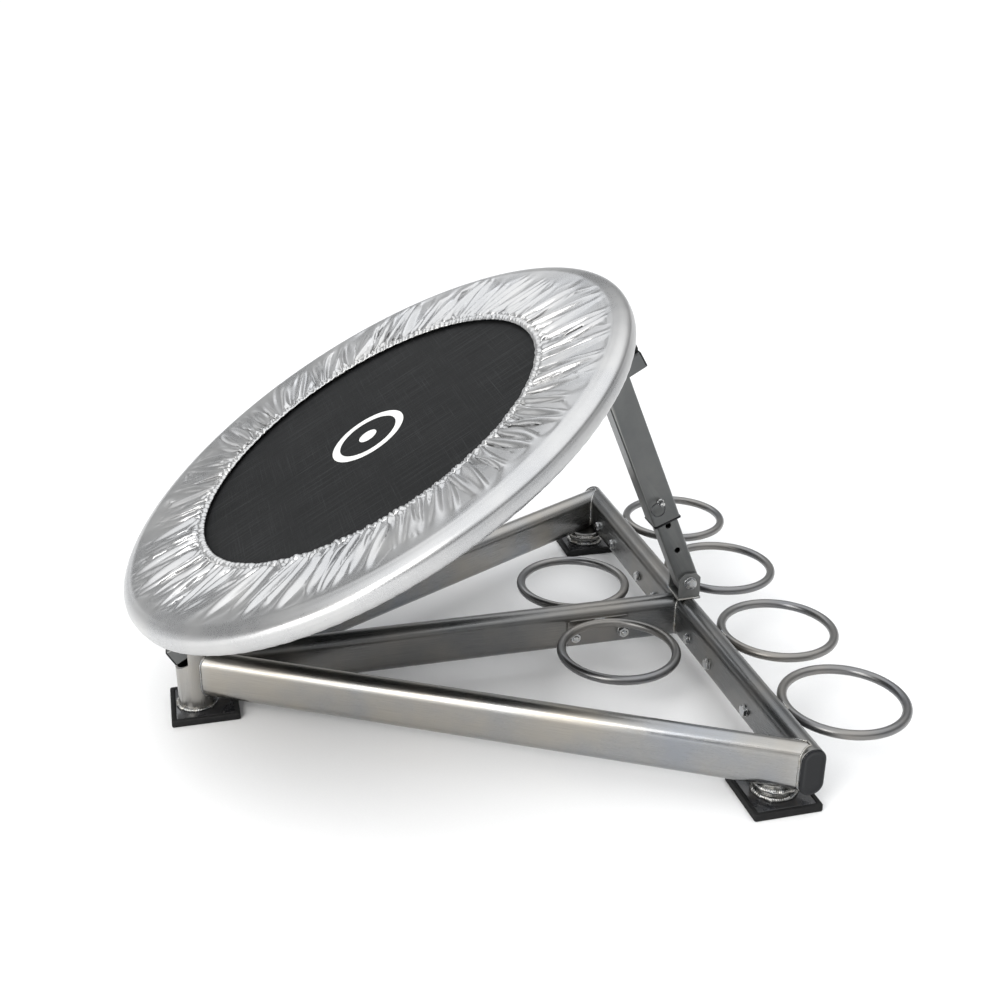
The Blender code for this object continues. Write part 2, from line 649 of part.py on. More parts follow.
def add_cover(bed):
    """Skin of revolution over springs and hoop: elastic edge, crown, side wall and hem."""
    skin = COVER_SKIN
    outer = [(0.3075, 0.0030), (0.340, 0.0050), (0.385, 0.0080), (0.425, 0.0095),
             (0.447, 0.0075), (0.4600, 0.0015), (BED_RADIUS, -0.0080), (0.4645, -0.0200),
             (0.4600, -0.0285), (0.4495, -0.0315)]
    inner = [(0.4495, -0.0315 + skin), (0.4585, -0.0265), (0.4620, -0.0195),
             (0.4625, -0.0085), (0.4580, 0.0000), (0.4460, 0.0053), (0.425, 0.0073),
             (0.385, 0.0058), (0.340, 0.0028), (0.3075, 0.0008)]
    profile = outer + inner
    loops = []
    for i in range(BED_SIDES):
        turn = Matrix.Rotation(math.tau * i / BED_SIDES, 3, "Z")
        loops.append([turn @ Vector((radius, 0, height)) for radius, height in profile])
    add_loft("cover_pad", loops, finish="silver_vinyl", parent=bed,
             location=(0, BED_CENTRE_Y, BED_CENTRE_Z), closed=True)


def add_springs(bed):
    """Six of the coil springs between mat and hoop, as plain rods of the coils' diameter."""
    for i in range(SPRING_NODES):
        angle = math.tau * (i + 0.5) / SPRING_NODES
        outward = Vector((math.cos(angle), math.sin(angle), 0))
        add_rod(f"bed_spring_{i + 1}", SPRING_RADIUS, outward * SPRING_INNER,
                outward * SPRING_OUTER, Z_AXIS.cross(outward), Z_AXIS, count=6,
                finish="zinc", parent=bed,
                location=(0, BED_CENTRE_Y, BED_CENTRE_Z - SPRING_DROP))


def build_bed():
    bed = add_empty("bed_axis", (0, POST_Y + HINGE_Y, HINGE_Z), BED_TILT)
    add_spine(bed)
    add_leg("front", BED_CENTRE_Y - LEG_OFFSET, bed)
    add_leg("rear", BED_CENTRE_Y + LEG_OFFSET, bed)
    add_hoop(bed)
    add_cover(bed)
    add_springs(bed)
    half = OUTER_SIDE / 2 + 2 * GAP
    length = 2 * half + M10["nut"] + THREAD_END
    add_bolt("strut_top_bolt", M10, length, bed, (half, PIVOT_Y, 0), -X_AXIS, Y_AXIS)
    add_nut("strut_top_nut", M10, bed, (-half, PIVOT_Y, 0), -X_AXIS, Y_AXIS)
    mat_top = BED_CENTRE_Z + MAT_TOP
    add_rod("mat", MAT_RADIUS, (0, 0, -MAT_THICKNESS), (0, 0, 0), X_AXIS, Y_AXIS,
            count=BED_SIDES,            finish="mat_weave", parent=bed, location=(0, BED_CENTRE_Y, mat_top))


# ---- strut ----------------------------------------------------------------------------

def add_strut_lower(strut):
    outer = square_section(INNER_SIDE, STRUT_CORNER)
    inner = square_section(INNER_SIDE - 2 * INNER_WALL, STRUT_INNER_CORNER)
    lower = add_tube("strut_lower", outer, inner, (0, 0, INNER_BOTTOM), (0, 0, INNER_TOP),
                     X_AXIS, Y_AXIS, finish="strut_steel", parent=strut)
    cut(lower, add_cross_rod("cut_strut_foot", M12["radius"] + GAP, 0, 0, strut))
    for i in range(HOLE_COUNT):
        z = FIRST_HOLE + i * HOLE_PITCH
        cut(lower, add_cross_rod(f"cut_strut_hole_{i + 1}", HOLE_RADIUS, 0, z, strut))


def add_strut_upper(strut, pin_z):
    """Outer tube: its side walls run on past the spine as two ears."""
    outer = square_section(OUTER_SIDE, STRUT_CORNER)
    inner = square_section(OUTER_SIDE - 2 * OUTER_WALL, STRUT_INNER_CORNER)
    upper = add_tube("strut_upper", outer, inner, (0, 0, OUTER_BOTTOM), (0, 0, OUTER_TOP),
                     X_AXIS, Y_AXIS, finish="strut_steel", parent=strut)
    half_bore = OUTER_SIDE / 2 - OUTER_WALL
    mouth = add_box("cut_strut_mouth", (-half_bore, -CUT_REACH, OUTER_CUT),
                    (half_bore, CUT_REACH, OUTER_TOP + CUT_OVERSHOOT), parent=strut)
    pin_bore = add_cross_rod("cut_strut_pin", PIN_RADIUS + GAP, 0, pin_z, strut)
    open_pivot = add_cross_rod("cut_strut_top", OPEN_PIVOT_RADIUS, OPEN_PIVOT_SHIFT,
                               STRUT_PIVOT, strut)
    cut(upper, mouth, pin_bore, open_pivot)
    for side, sign in (("front", -1), ("rear", 1)):
        edge = sign * (OUTER_SIDE / 2 + SEAM_MARGIN)
        top = OUTER_TOP + SEAM_MARGIN
        corner = [(edge, top), (edge - sign * EAR_CHAMFER, top), (edge, top - EAR_CHAMFER)]
        tool = add_prism("cut_strut_corner_" + side, corner, (-CUT_REACH, 0, 0),
                         (CUT_REACH, 0, 0), Y_AXIS, Z_AXIS, parent=strut)
        cut(upper, tool)


def add_lock_pin(pin_z, strut):
    """Pull pin across the outer tube's +X wall, and the ring through its end."""
    wall = OUTER_SIDE / 2
    tip = INNER_SIDE / 2 + 2 * GAP
    collar = wall + GAP
    shank = circle(PIN_RADIUS, 16)
    wide = circle(PIN_COLLAR_RADIUS, 16)
    loops = [place(shank, (tip, 0, 0), Y_AXIS, Z_AXIS),
             place(shank, (collar, 0, 0), Y_AXIS, Z_AXIS),
             place(wide, (collar, 0, 0), Y_AXIS, Z_AXIS),
             place(wide, (collar + PIN_COLLAR, 0, 0), Y_AXIS, Z_AXIS),
             place(shank, (collar + PIN_COLLAR, 0, 0), Y_AXIS, Z_AXIS),
             place(shank, (PIN_END_X - PIN_BEVEL, 0, 0), Y_AXIS, Z_AXIS),
             place(circle(PIN_RADIUS - PIN_BEVEL, 16), (PIN_END_X, 0, 0), Y_AXIS, Z_AXIS)]
    pin = add_loft("lock_pin", loops, finish="zinc", parent=strut, location=(0, 0, pin_z))

    pin_axis = add_empty("pin_ring_axis", (PIN_RING_X, 0, pin_z), -STRUT_LEAN - PIN_RING_HANG,
                         strut)
    cross_bore = add_rod("cut_pin_cross", PIN_CROSS_HOLE, (0, -2 * PIN_RADIUS, 0),
                         (0, 2 * PIN_RADIUS, 0), X_AXIS, Z_AXIS, parent=pin_axis)
    cut(pin, cross_bore)
    ring = add_torus("pin_ring", PIN_RING_RADIUS, PIN_RING_WIRE, 24, 6, finish="zinc",
                     parent=pin_axis, location=(0, 0, -PIN_RING_RADIUS))
    ring.rotation_euler = (0, math.pi / 2, 0)


def build_strut():
    strut = add_empty("strut_axis", (0, POST_Y + STRUT_CLEVIS_Y, STRUT_CLEVIS_BOLT_Z),
                      STRUT_LEAN)
    pin_z = FIRST_HOLE + PIN_HOLE * HOLE_PITCH
    add_strut_lower(strut)
    add_strut_upper(strut, pin_z)
    add_lock_pin(pin_z, strut)


for existing in list(bpy.data.objects):
    bpy.data.objects.remove(existing, do_unlink=True)
build_base()
build_bed()
build_strut()
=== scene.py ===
import json
import math
import random

import bmesh
import bpy
import numpy as np
from mathutils import Matrix, Vector, noise


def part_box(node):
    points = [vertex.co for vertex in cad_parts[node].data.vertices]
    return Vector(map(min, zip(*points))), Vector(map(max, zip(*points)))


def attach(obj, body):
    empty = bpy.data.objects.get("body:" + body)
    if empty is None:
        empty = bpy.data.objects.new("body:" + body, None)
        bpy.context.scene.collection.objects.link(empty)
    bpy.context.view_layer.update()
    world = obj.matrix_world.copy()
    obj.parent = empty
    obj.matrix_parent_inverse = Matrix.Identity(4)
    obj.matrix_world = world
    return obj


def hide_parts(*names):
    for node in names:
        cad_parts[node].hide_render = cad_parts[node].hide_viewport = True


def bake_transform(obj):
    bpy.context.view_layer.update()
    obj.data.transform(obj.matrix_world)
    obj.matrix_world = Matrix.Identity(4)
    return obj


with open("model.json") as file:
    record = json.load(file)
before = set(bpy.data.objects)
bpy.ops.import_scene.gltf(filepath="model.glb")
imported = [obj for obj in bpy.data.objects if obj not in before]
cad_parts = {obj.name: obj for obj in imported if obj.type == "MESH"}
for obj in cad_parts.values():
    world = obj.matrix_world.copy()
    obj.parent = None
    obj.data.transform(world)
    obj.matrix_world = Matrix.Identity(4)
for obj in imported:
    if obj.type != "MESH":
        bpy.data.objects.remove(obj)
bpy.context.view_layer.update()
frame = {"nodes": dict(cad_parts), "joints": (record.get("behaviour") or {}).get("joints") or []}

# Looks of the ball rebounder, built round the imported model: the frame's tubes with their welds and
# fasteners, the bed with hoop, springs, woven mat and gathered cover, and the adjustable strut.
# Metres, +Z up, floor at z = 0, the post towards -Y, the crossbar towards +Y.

X_AXIS = Vector((1, 0, 0))
Y_AXIS = Vector((0, 1, 0))
Z_AXIS = Vector((0, 0, 1))

# ---- dimensions (metres) ---------------------------------------------------------------

TUBE_WIDTH = 0.040                # flat-oval frame tube
TUBE_HEIGHT = 0.080
SIDE_RAIL_SPREAD = 0.498          # where a side rail's centreline meets the crossbar's
BURIED = 0.0006                   # how far a welded end runs into its neighbour
SAWN_EDGE = 0.0006                # rounding of a sawn tube end
GAP = 0.0003                      # clearance of a bore, and between loose parts
CUT_REACH = 0.05                  # half the length of a cutting tool

RING_RADIUS = 0.0980              # ball rings, centreline of the bar
BAR_RADIUS = 0.008
RING_Z = 0.0856
TAB_THICKNESS = 0.005
TAB_LENGTH = 0.116
TAB_CORNER = 0.007
RING_WELD_DEPTH = 0.0015
RING_WELD_BACK = 0.0048           # from the bar's centreline towards the tab
RING_WELD_LIFT = 0.0058           # and above or below it

POST_WALL = 0.003
POST_SLOT = 0.041
SLOT_FLOOR = ((-0.040, 0.0776), (0.0145, 0.1136), (0.040, 0.1136))
POST_NOTCH_Y = -0.009
POST_WELD_WIDTH = 0.0085
STUB_WELDS = {"lower": 0.0105, "upper": 0.0095}
STUB_UPPER_WELD_Z = 0.0285

HOOP_RADIUS = 0.4465
HOOP_TUBE_RADIUS = 0.0127
HOOP_DROP = 0.013
MAT_TOP = -0.0025                 # from the bed's crease plane
MAT_THICKNESS = 0.003
SPRING_COUNT = 30
SPRING_DROP = 0.010
SPRING_COIL_RADIUS = 0.0038
SPRING_WIRE = 0.0009

OUTER_SIDE = 0.050
OUTER_WALL = 0.004
INNER_SIDE = 0.040
INNER_WALL = 0.003
STRUT_CORNER = 0.004
HOLE_RADIUS = 0.0055
FIRST_HOLE = 0.0705
HOLE_PITCH = 0.054
HOLE_COUNT = 5
TOP_BORE_RADIUS = 0.0074          # clearance round the strut's top bolt
TOP_BORE_Y = -0.0019              # its middle, square to the strut
PIN_BORE_RADIUS = 0.0048
MOUTH_Z = 0.400                   # above this the outer tube is a fork
FORK_CHAMFER = 0.012
CLEVIS_SLOT = 0.041
CLEVIS_BASE = 0.005
CLEVIS_CHAMFER = 0.009
SPLIT_RING_RADIUS = 0.0125
SPLIT_RING_WIRE = 0.0011

M10 = {"radius": 0.005, "flats": 0.017, "head": 0.0065, "nut": 0.008, "washer": 0.0100}
M12 = {"radius": 0.006, "flats": 0.019, "head": 0.0075, "nut": 0.010, "washer": 0.0115}
WASHER_THICKNESS = 0.0013


def box_centre(node):
    low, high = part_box(node)
    return (low + high) / 2


def box_size(node):
    low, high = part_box(node)
    return high - low


joints = {joint["name"]: joint for joint in frame["joints"]}
POST = Vector((0, box_centre("front_post").y, 0))
POST_RADIUS = box_size("front_post").x / 2
BAR = box_centre("crossbar")
BAR_HALF = box_size("crossbar").x / 2
BAR_DISTANCE = BAR.y - POST.y
SIDE_RAIL_ANGLE = math.atan2(SIDE_RAIL_SPREAD, BAR_DISTANCE)

# The bed's own frame: origin in the middle of the mat's crease plane, +Y up the slope, +Z out.
bed_normal = -Vector(joints["mat_bounce"]["axis"]).normalized()
bed_slope = bed_normal.cross(X_AXIS)
bed_centre = box_centre("mat") + bed_normal * (MAT_THICKNESS / 2 - MAT_TOP)
BED = Matrix((X_AXIS, bed_slope, bed_normal)).transposed().to_4x4()
BED.translation = bed_centre
HINGE = Vector(joints["bed_tilt"]["pos_m"])

# The strut's own frame: origin on the clevis bolt, +Z up the strut.
strut_up = Vector(joints["strut_slide"]["axis"]).normalized()
STRUT = Matrix((X_AXIS, strut_up.cross(X_AXIS), strut_up)).transposed().to_4x4()
STRUT.translation = Vector(joints["strut_pivot"]["pos_m"])
PIN_Z = (STRUT.inverted() @ box_centre("lock_pin")).z


# ---- materials -------------------------------------------------------------------------

class Paint:
    """A Principled material and the short names of the nodes that feed it."""

    def __init__(self, name, colour, metallic, roughness, **sockets):
        self.material = bpy.data.materials.new(name)
        self.material.use_nodes = True
        self.tree = self.material.node_tree
        self.shader = self.tree.nodes["Principled BSDF"]
        self.shader.inputs["Base Color"].default_value = (*colour, 1)
        self.shader.inputs["Metallic"].default_value = metallic
        self.shader.inputs["Roughness"].default_value = roughness
        for socket, value in sockets.items():
            self.shader.inputs[socket.replace("_", " ")].default_value = value

    def node(self, kind, links=(), **settings):
        made = self.tree.nodes.new(kind)
        for name, value in settings.items():
            setattr(made, name, value)
        for socket, source in dict(links).items():
            if isinstance(source, bpy.types.NodeSocket):
                self.tree.links.new(source, made.inputs[socket])
            else:
                made.inputs[socket].default_value = source
        return made

    def place(self, scale=(1, 1, 1), source="Object"):
        """Texture coordinates in metres, stretched by the scale."""
        coordinates = self.node("ShaderNodeTexCoord").outputs[source]
        return self.node("ShaderNodeMapping", {"Vector": coordinates, "Scale": scale}).outputs[0]

    def noise(self, scale, vector=None, detail=4.0, roughness=0.55, distortion=0.0):
        links = {"Scale": scale, "Detail": detail, "Roughness": roughness,
                 "Distortion": distortion, "Vector": vector or self.place()}
        return self.node("ShaderNodeTexNoise", links).outputs["Fac"]

    def ramp(self, value, *stops):
        made = self.node("ShaderNodeValToRGB", {"Fac": value})
        elements = made.color_ramp.elements
        while len(elements) < len(stops):
            elements.new(0.5)
        for element, (position, colour) in zip(elements, stops):
            element.position = position
            element.color = (*colour, 1)
        return made.outputs["Color"]

    def span(self, value, low, high, start=0.0, end=1.0):
        links = {"Value": value, "From Min": start, "From Max": end, "To Min": low, "To Max": high}
        return self.node("ShaderNodeMapRange", links).outputs["Result"]

    def mix(self, factor, first, second):
        made = self.node("ShaderNodeMix", data_type="RGBA")
        for index, source in ((0, factor), (6, first), (7, second)):
            if isinstance(source, bpy.types.NodeSocket):
                self.tree.links.new(source, made.inputs[index])
            elif index == 0:
                made.inputs[index].default_value = source
            else:
                made.inputs[index].default_value = (*source, 1)
        return made.outputs[2]

    def math(self, operation, first, second=0.0):
        return self.node("ShaderNodeMath", {0: first, 1: second}, operation=operation).outputs[0]

    def feed(self, socket, source):
        self.tree.links.new(source, self.shader.inputs[socket])

    def bump(self, height, strength, distance, normal=None):
        links = {"Height": height, "Strength": strength, "Distance": distance}
        if normal is not None:
            links["Normal"] = normal
        return self.node("ShaderNodeBump", links).outputs[0]

    def edges(self, low=0.52, high=0.60):
        """One on worn outer edges, zero on flats."""
        pointiness = self.node("ShaderNodeNewGeometry").outputs["Pointiness"]
        return self.span(pointiness, 0.0, 1.0, low, high)

    def dress(self, pattern, stops, rough, relief, strength, depth, worn=None, limits=(0.3, 0.7)):
        """One pattern drives tone and roughness, another the relief. Worn edges get a tone."""
        tone = self.ramp(pattern, *stops)
        if worn:
            low, high, colour = worn
            tone = self.mix(self.edges(low, high), tone, colour)
        self.feed("Base Color", tone)
        self.feed("Roughness", self.span(pattern, *rough, *limits))
        self.feed("Normal", self.bump(relief, strength, depth))
        return self.material


def brushed_metal(name, colour, roughness, tint, streak_scale=(900, 14, 1), streak_depth=0.00003):
    """Rolled and clear-coated steel: long drawing streaks, cloudy tint, rubbed edges."""
    paint = Paint(name, colour, 1.0, roughness, Coat_Weight=0.25, Coat_Roughness=0.12)
    along = paint.place(streak_scale, "UV")
    streaks = paint.noise(1.0, along, detail=6.0, roughness=0.7)
    clouds = paint.noise(7.0, detail=3.0)
    specks = paint.noise(420.0, detail=2.0, roughness=0.8)
    cool, warm = tint
    tone = paint.ramp(clouds, (0.32, cool), (0.5, colour), (0.68, warm))
    darker = tuple(0.80 * c for c in colour)
    tone = paint.mix(paint.span(streaks, 0.0, 0.55, 0.42, 0.68), tone, darker)
    tone = paint.mix(paint.edges(), tone, tuple(min(1, 1.25 * c) for c in colour))
    paint.feed("Base Color", tone)
    rough = paint.math("ADD", paint.span(streaks, roughness - 0.07, roughness + 0.10, 0.3, 0.7),
                       paint.span(clouds, -0.05, 0.06, 0.3, 0.7))
    paint.feed("Roughness", rough)
    fine = paint.bump(streaks, 0.35, streak_depth)
    paint.feed("Normal", paint.bump(specks, 0.15, 0.00002, fine))
    return paint.material


def frame_steel():
    return brushed_metal("frame_steel", (0.30, 0.297, 0.29), 0.27,
                         ((0.26, 0.275, 0.30), (0.35, 0.325, 0.285)))


# Painted shade: a darker copy of the frame steel, used on the centre rail and the crossbar, which
# stand in shade.
def shaded_steel():
    return brushed_metal("shaded_steel", (0.18, 0.18, 0.178), 0.30,
                         ((0.145, 0.152, 0.158), (0.225, 0.215, 0.198)))


def ring_steel():
    return brushed_metal("ring_steel", (0.20, 0.198, 0.195), 0.34,
                         ((0.15, 0.155, 0.17), (0.26, 0.245, 0.225)))


def strut_steel():
    """Dark satin paint with a fine orange-peel surface and rubbed edges."""
    paint = Paint("strut_steel", (0.115, 0.12, 0.12), 0.75, 0.38, Coat_Weight=0.15)
    clouds = paint.noise(11.0, detail=5.0)
    peel = paint.noise(650.0, detail=2.0)
    stops = ((0.3, (0.095, 0.10, 0.102)), (0.7, (0.145, 0.148, 0.145)))
    return paint.dress(clouds, stops, (0.33, 0.46), peel, 0.25, 0.00005,
                       worn=(0.53, 0.64, (0.33, 0.33, 0.32)))


def weld_metal():
    """A wire weld under clear coat, with grey, straw and brown heat tint."""
    paint = Paint("weld_metal", (0.46, 0.45, 0.43), 1.0, 0.24, Coat_Weight=0.3)
    patches = paint.noise(60.0, detail=3.0)
    grit = paint.noise(900.0, detail=3.0)
    stops = ((0.25, (0.13, 0.15, 0.18)), (0.45, (0.30, 0.30, 0.295)),
             (0.6, (0.36, 0.35, 0.325)), (0.8, (0.17, 0.145, 0.12)))
    return paint.dress(patches, stops, (0.16, 0.36), grit, 0.4, 0.00008)


def zinc():
    """Bright zinc plate, slightly yellowed, with fine handling scratches."""
    paint = Paint("zinc", (0.72, 0.73, 0.74), 1.0, 0.20)
    patches = paint.noise(160.0, detail=4.0)
    scratches = paint.noise(1.0, paint.place((2400, 160, 900)), detail=3.0)
    stops = ((0.3, (0.40, 0.415, 0.44)), (0.6, (0.52, 0.52, 0.51)), (0.8, (0.46, 0.44, 0.38)))
    return paint.dress(patches, stops, (0.14, 0.32), scratches, 0.25, 0.00003)


def spring_wire():
    """Galvanised wire, dulled in patches."""
    paint = Paint("spring_wire", (0.55, 0.56, 0.57), 1.0, 0.30)
    patches = paint.noise(220.0, detail=4.0)
    stops = ((0.3, (0.44, 0.45, 0.47)), (0.7, (0.64, 0.64, 0.62)))
    return paint.dress(patches, stops, (0.22, 0.42), patches, 0.2, 0.00003)


def plate_steel():
    """Blackened and lacquered plate, clouded by the weld's heat."""
    paint = Paint("plate_steel", (0.035, 0.037, 0.042), 0.6, 0.22, Coat_Weight=0.6,
                  Coat_Roughness=0.08)
    clouds = paint.noise(32.0, detail=5.0, distortion=0.6)
    stops = ((0.3, (0.025, 0.028, 0.034)), (0.6, (0.05, 0.05, 0.052)),
             (0.8, (0.085, 0.072, 0.058)))
    return paint.dress(clouds, stops, (0.16, 0.38), clouds, 0.25, 0.0002,
                       worn=(0.54, 0.66, (0.2, 0.2, 0.2)))


def rubber():
    """Moulded rubber with a fine grain and patches of dust."""
    paint = Paint("rubber", (0.016, 0.016, 0.017), 0.0, 0.72, Specular_IOR_Level=0.25)
    grain = paint.noise(1300.0, detail=2.0)
    dust = paint.noise(75.0, detail=6.0, roughness=0.65)
    stops = ((0.45, (0.004, 0.004, 0.0045)), (0.78, (0.016, 0.0155, 0.015)))
    return paint.dress(dust, stops, (0.58, 0.82), grain, 0.5, 0.0001,
                       worn=(0.53, 0.62, (0.020, 0.020, 0.020)), limits=(0.3, 0.75))


def black_plastic():
    """Glossy moulded polythene: slight sink marks and light scuffs."""
    paint = Paint("black_plastic", (0.012, 0.013, 0.016), 0.0, 0.24, Specular_IOR_Level=0.3)
    sinks = paint.noise(40.0, detail=2.0)
    scuffs = paint.noise(1.0, paint.place((500, 90, 500)), detail=5.0, roughness=0.7)
    stops = ((0.62, (0.004, 0.0045, 0.006)), (0.85, (0.012, 0.013, 0.016)))
    return paint.dress(scuffs, stops, (0.12, 0.22), sinks, 0.12, 0.0002, limits=(0.45, 0.8))


def silver_vinyl():
    """Metallic PVC on a knitted backing: pressed grain, cloudy sheen, painted shade in the folds."""
    paint = Paint("silver_vinyl", (0.52, 0.52, 0.525), 0.92, 0.28)
    clouds = paint.noise(9.0, detail=4.0)
    grain = paint.node("ShaderNodeTexVoronoi", {"Scale": 900.0, "Vector": paint.place()},
                       feature="SMOOTH_F1").outputs["Distance"]
    knit = paint.noise(1.0, paint.place((520, 520, 520)), detail=3.0)
    # Painted shade: the hollows of the folds, found by low pointiness, are darkened towards
    # near-black.
    crease_shade = paint.node("ShaderNodeNewGeometry").outputs["Pointiness"]
    tone = paint.ramp(clouds, (0.3, (0.42, 0.423, 0.43)), (0.7, (0.52, 0.517, 0.51)))
    tone = paint.mix(paint.span(crease_shade, 0.7, 0.0, 0.28, 0.42), tone, (0.08, 0.08, 0.08))
    tone = paint.mix(paint.span(knit, 0.0, 0.12, 0.45, 0.7), tone, (0.38, 0.38, 0.39))
    paint.feed("Base Color", tone)
    paint.feed("Roughness", paint.math("ADD", paint.span(clouds, 0.24, 0.35, 0.3, 0.7),
                                       paint.span(knit, -0.03, 0.05, 0.3, 0.7)))
    fine = paint.bump(grain, 0.05, 0.00006)
    paint.feed("Normal", paint.bump(knit, 0.04, 0.00005, fine))
    return paint.material


def mat_weave():
    """Black woven polypropylene: flat tapes crossing at a fine pitch, with paler, shinier streaks
    along the tapes.
    """
    paint = Paint("mat_weave", (0.012, 0.0125, 0.013), 0.0, 0.6, Specular_IOR_Level=0.14)
    pitch = 1 / 0.0016
    flat = paint.place((1, 1, 0), "UV")
    parts = paint.node("ShaderNodeSeparateXYZ", {"Vector": flat})
    waves = [paint.math("SINE", paint.math("MULTIPLY", parts.outputs[k], math.pi * pitch))
             for k in (0, 1)]
    weave = paint.math("MULTIPLY", *waves)
    warp = paint.noise(1.0, paint.place((620, 6, 0), "UV"), detail=3.0, roughness=0.7)
    weft = paint.noise(1.0, paint.place((6, 620, 0), "UV"), detail=3.0, roughness=0.7)
    streaks = paint.math("MAXIMUM", paint.span(warp, 0.0, 1.0, 0.52, 0.78),
                         paint.span(weft, 0.0, 0.8, 0.55, 0.80))
    clouds = paint.noise(6.0, detail=4.0)
    tone = paint.ramp(clouds, (0.3, (0.005, 0.0054, 0.0058)), (0.7, (0.009, 0.0094, 0.0098)))
    tone = paint.mix(streaks, tone, (0.034, 0.035, 0.037))
    tone = paint.mix(paint.span(weave, 0.45, 0.0, -1.0, 0.4), tone, (0.006, 0.006, 0.006))
    paint.feed("Base Color", tone)
    paint.feed("Roughness", paint.span(streaks, 0.66, 0.50))
    fine = paint.bump(weave, 0.5, 0.00025)
    paint.feed("Normal", paint.bump(streaks, 0.3, 0.0001, fine))
    return paint.material


def webbing(name, colour):
    """Narrow woven tape: cross ribs and a soft fuzz."""
    paint = Paint(name, colour, 0.0, 0.75, Sheen_Weight=0.3)
    ribs = paint.noise(1.0, paint.place((900, 900, 900)), detail=2.0)
    fuzz = paint.noise(180.0, detail=5.0)
    darker, paler = (tuple(share * c for c in colour) for share in (0.7, 1.4))
    return paint.dress(fuzz, ((0.3, darker), (0.7, paler)), (0.65, 0.88), ribs, 0.5, 0.0003)


def print_ink():
    """White screen print, thin enough for the weave to show through."""
    paint = Paint("print_ink", (0.80, 0.80, 0.78), 0.0, 0.55)
    weave = paint.noise(700.0, detail=2.0)
    wear = paint.noise(60.0, detail=6.0, roughness=0.7)
    tone = paint.ramp(wear, (0.35, (0.62, 0.62, 0.60)), (0.6, (0.84, 0.84, 0.82)))
    tone = paint.mix(paint.span(weave, 0.35, 0.0, 0.30, 0.42), tone, (0.25, 0.25, 0.25))
    paint.feed("Base Color", tone)
    paint.feed("Roughness", paint.span(wear, 0.48, 0.68, 0.3, 0.7))
    paint.feed("Normal", paint.bump(weave, 0.4, 0.0002))
    return paint.material


MATERIALS = {
    "frame_steel": frame_steel(),
    "shaded_steel": shaded_steel(),
    "ring_steel": ring_steel(),
    "strut_steel": strut_steel(),
    "weld": weld_metal(),
    "zinc": zinc(),
    "spring_wire": spring_wire(),
    "plate_steel": plate_steel(),
    "rubber": rubber(),
    "black_plastic": black_plastic(),
    "silver_vinyl": silver_vinyl(),
    "mat_weave": mat_weave(),
    "hem_tape": webbing("hem_tape", (0.020, 0.020, 0.021)),
    "silver_thread": webbing("silver_thread", (0.42, 0.42, 0.43)),
    "print_ink": print_ink(),
}


# ---- mesh tools ------------------------------------------------------------------------

def turns(count):
    """Angles of one full turn in equal steps."""
    return [math.tau * i / count for i in range(count)]


def circle(radius, count=48):
    return [(radius * math.cos(angle), radius * math.sin(angle)) for angle in turns(count)]


def polar(radius, angle, height):
    return Vector((radius * math.cos(angle), radius * math.sin(angle), height))


def rounded_box(width, height, radius, steps=6):
    """Rectangle with round corners, anticlockwise from the middle of its right side."""
    points = []
    corners = ((1, 1), (-1, 1), (-1, -1), (1, -1))
    for quarter, (side, level) in enumerate(corners):
        centre_u = side * (width / 2 - radius)
        centre_v = level * (height / 2 - radius)
        for i in range(steps + 1):
            angle = (quarter + i / steps) * math.pi / 2
            points.append((centre_u + radius * math.cos(angle),
                           centre_v + radius * math.sin(angle)))
    return points


def flat_oval(inset=0.0, flat_end=0.0002, steps=14):
    width = TUBE_WIDTH - 2 * inset
    height = TUBE_HEIGHT - 2 * inset
    return rounded_box(width, height, width / 2 - flat_end, steps)


def place(section, origin, across, up):
    origin = Vector(origin)
    return [origin + across * u + up * v for u, v in section]


ON_AXIS = 1e-6                    # radius that stands for a point on the axis


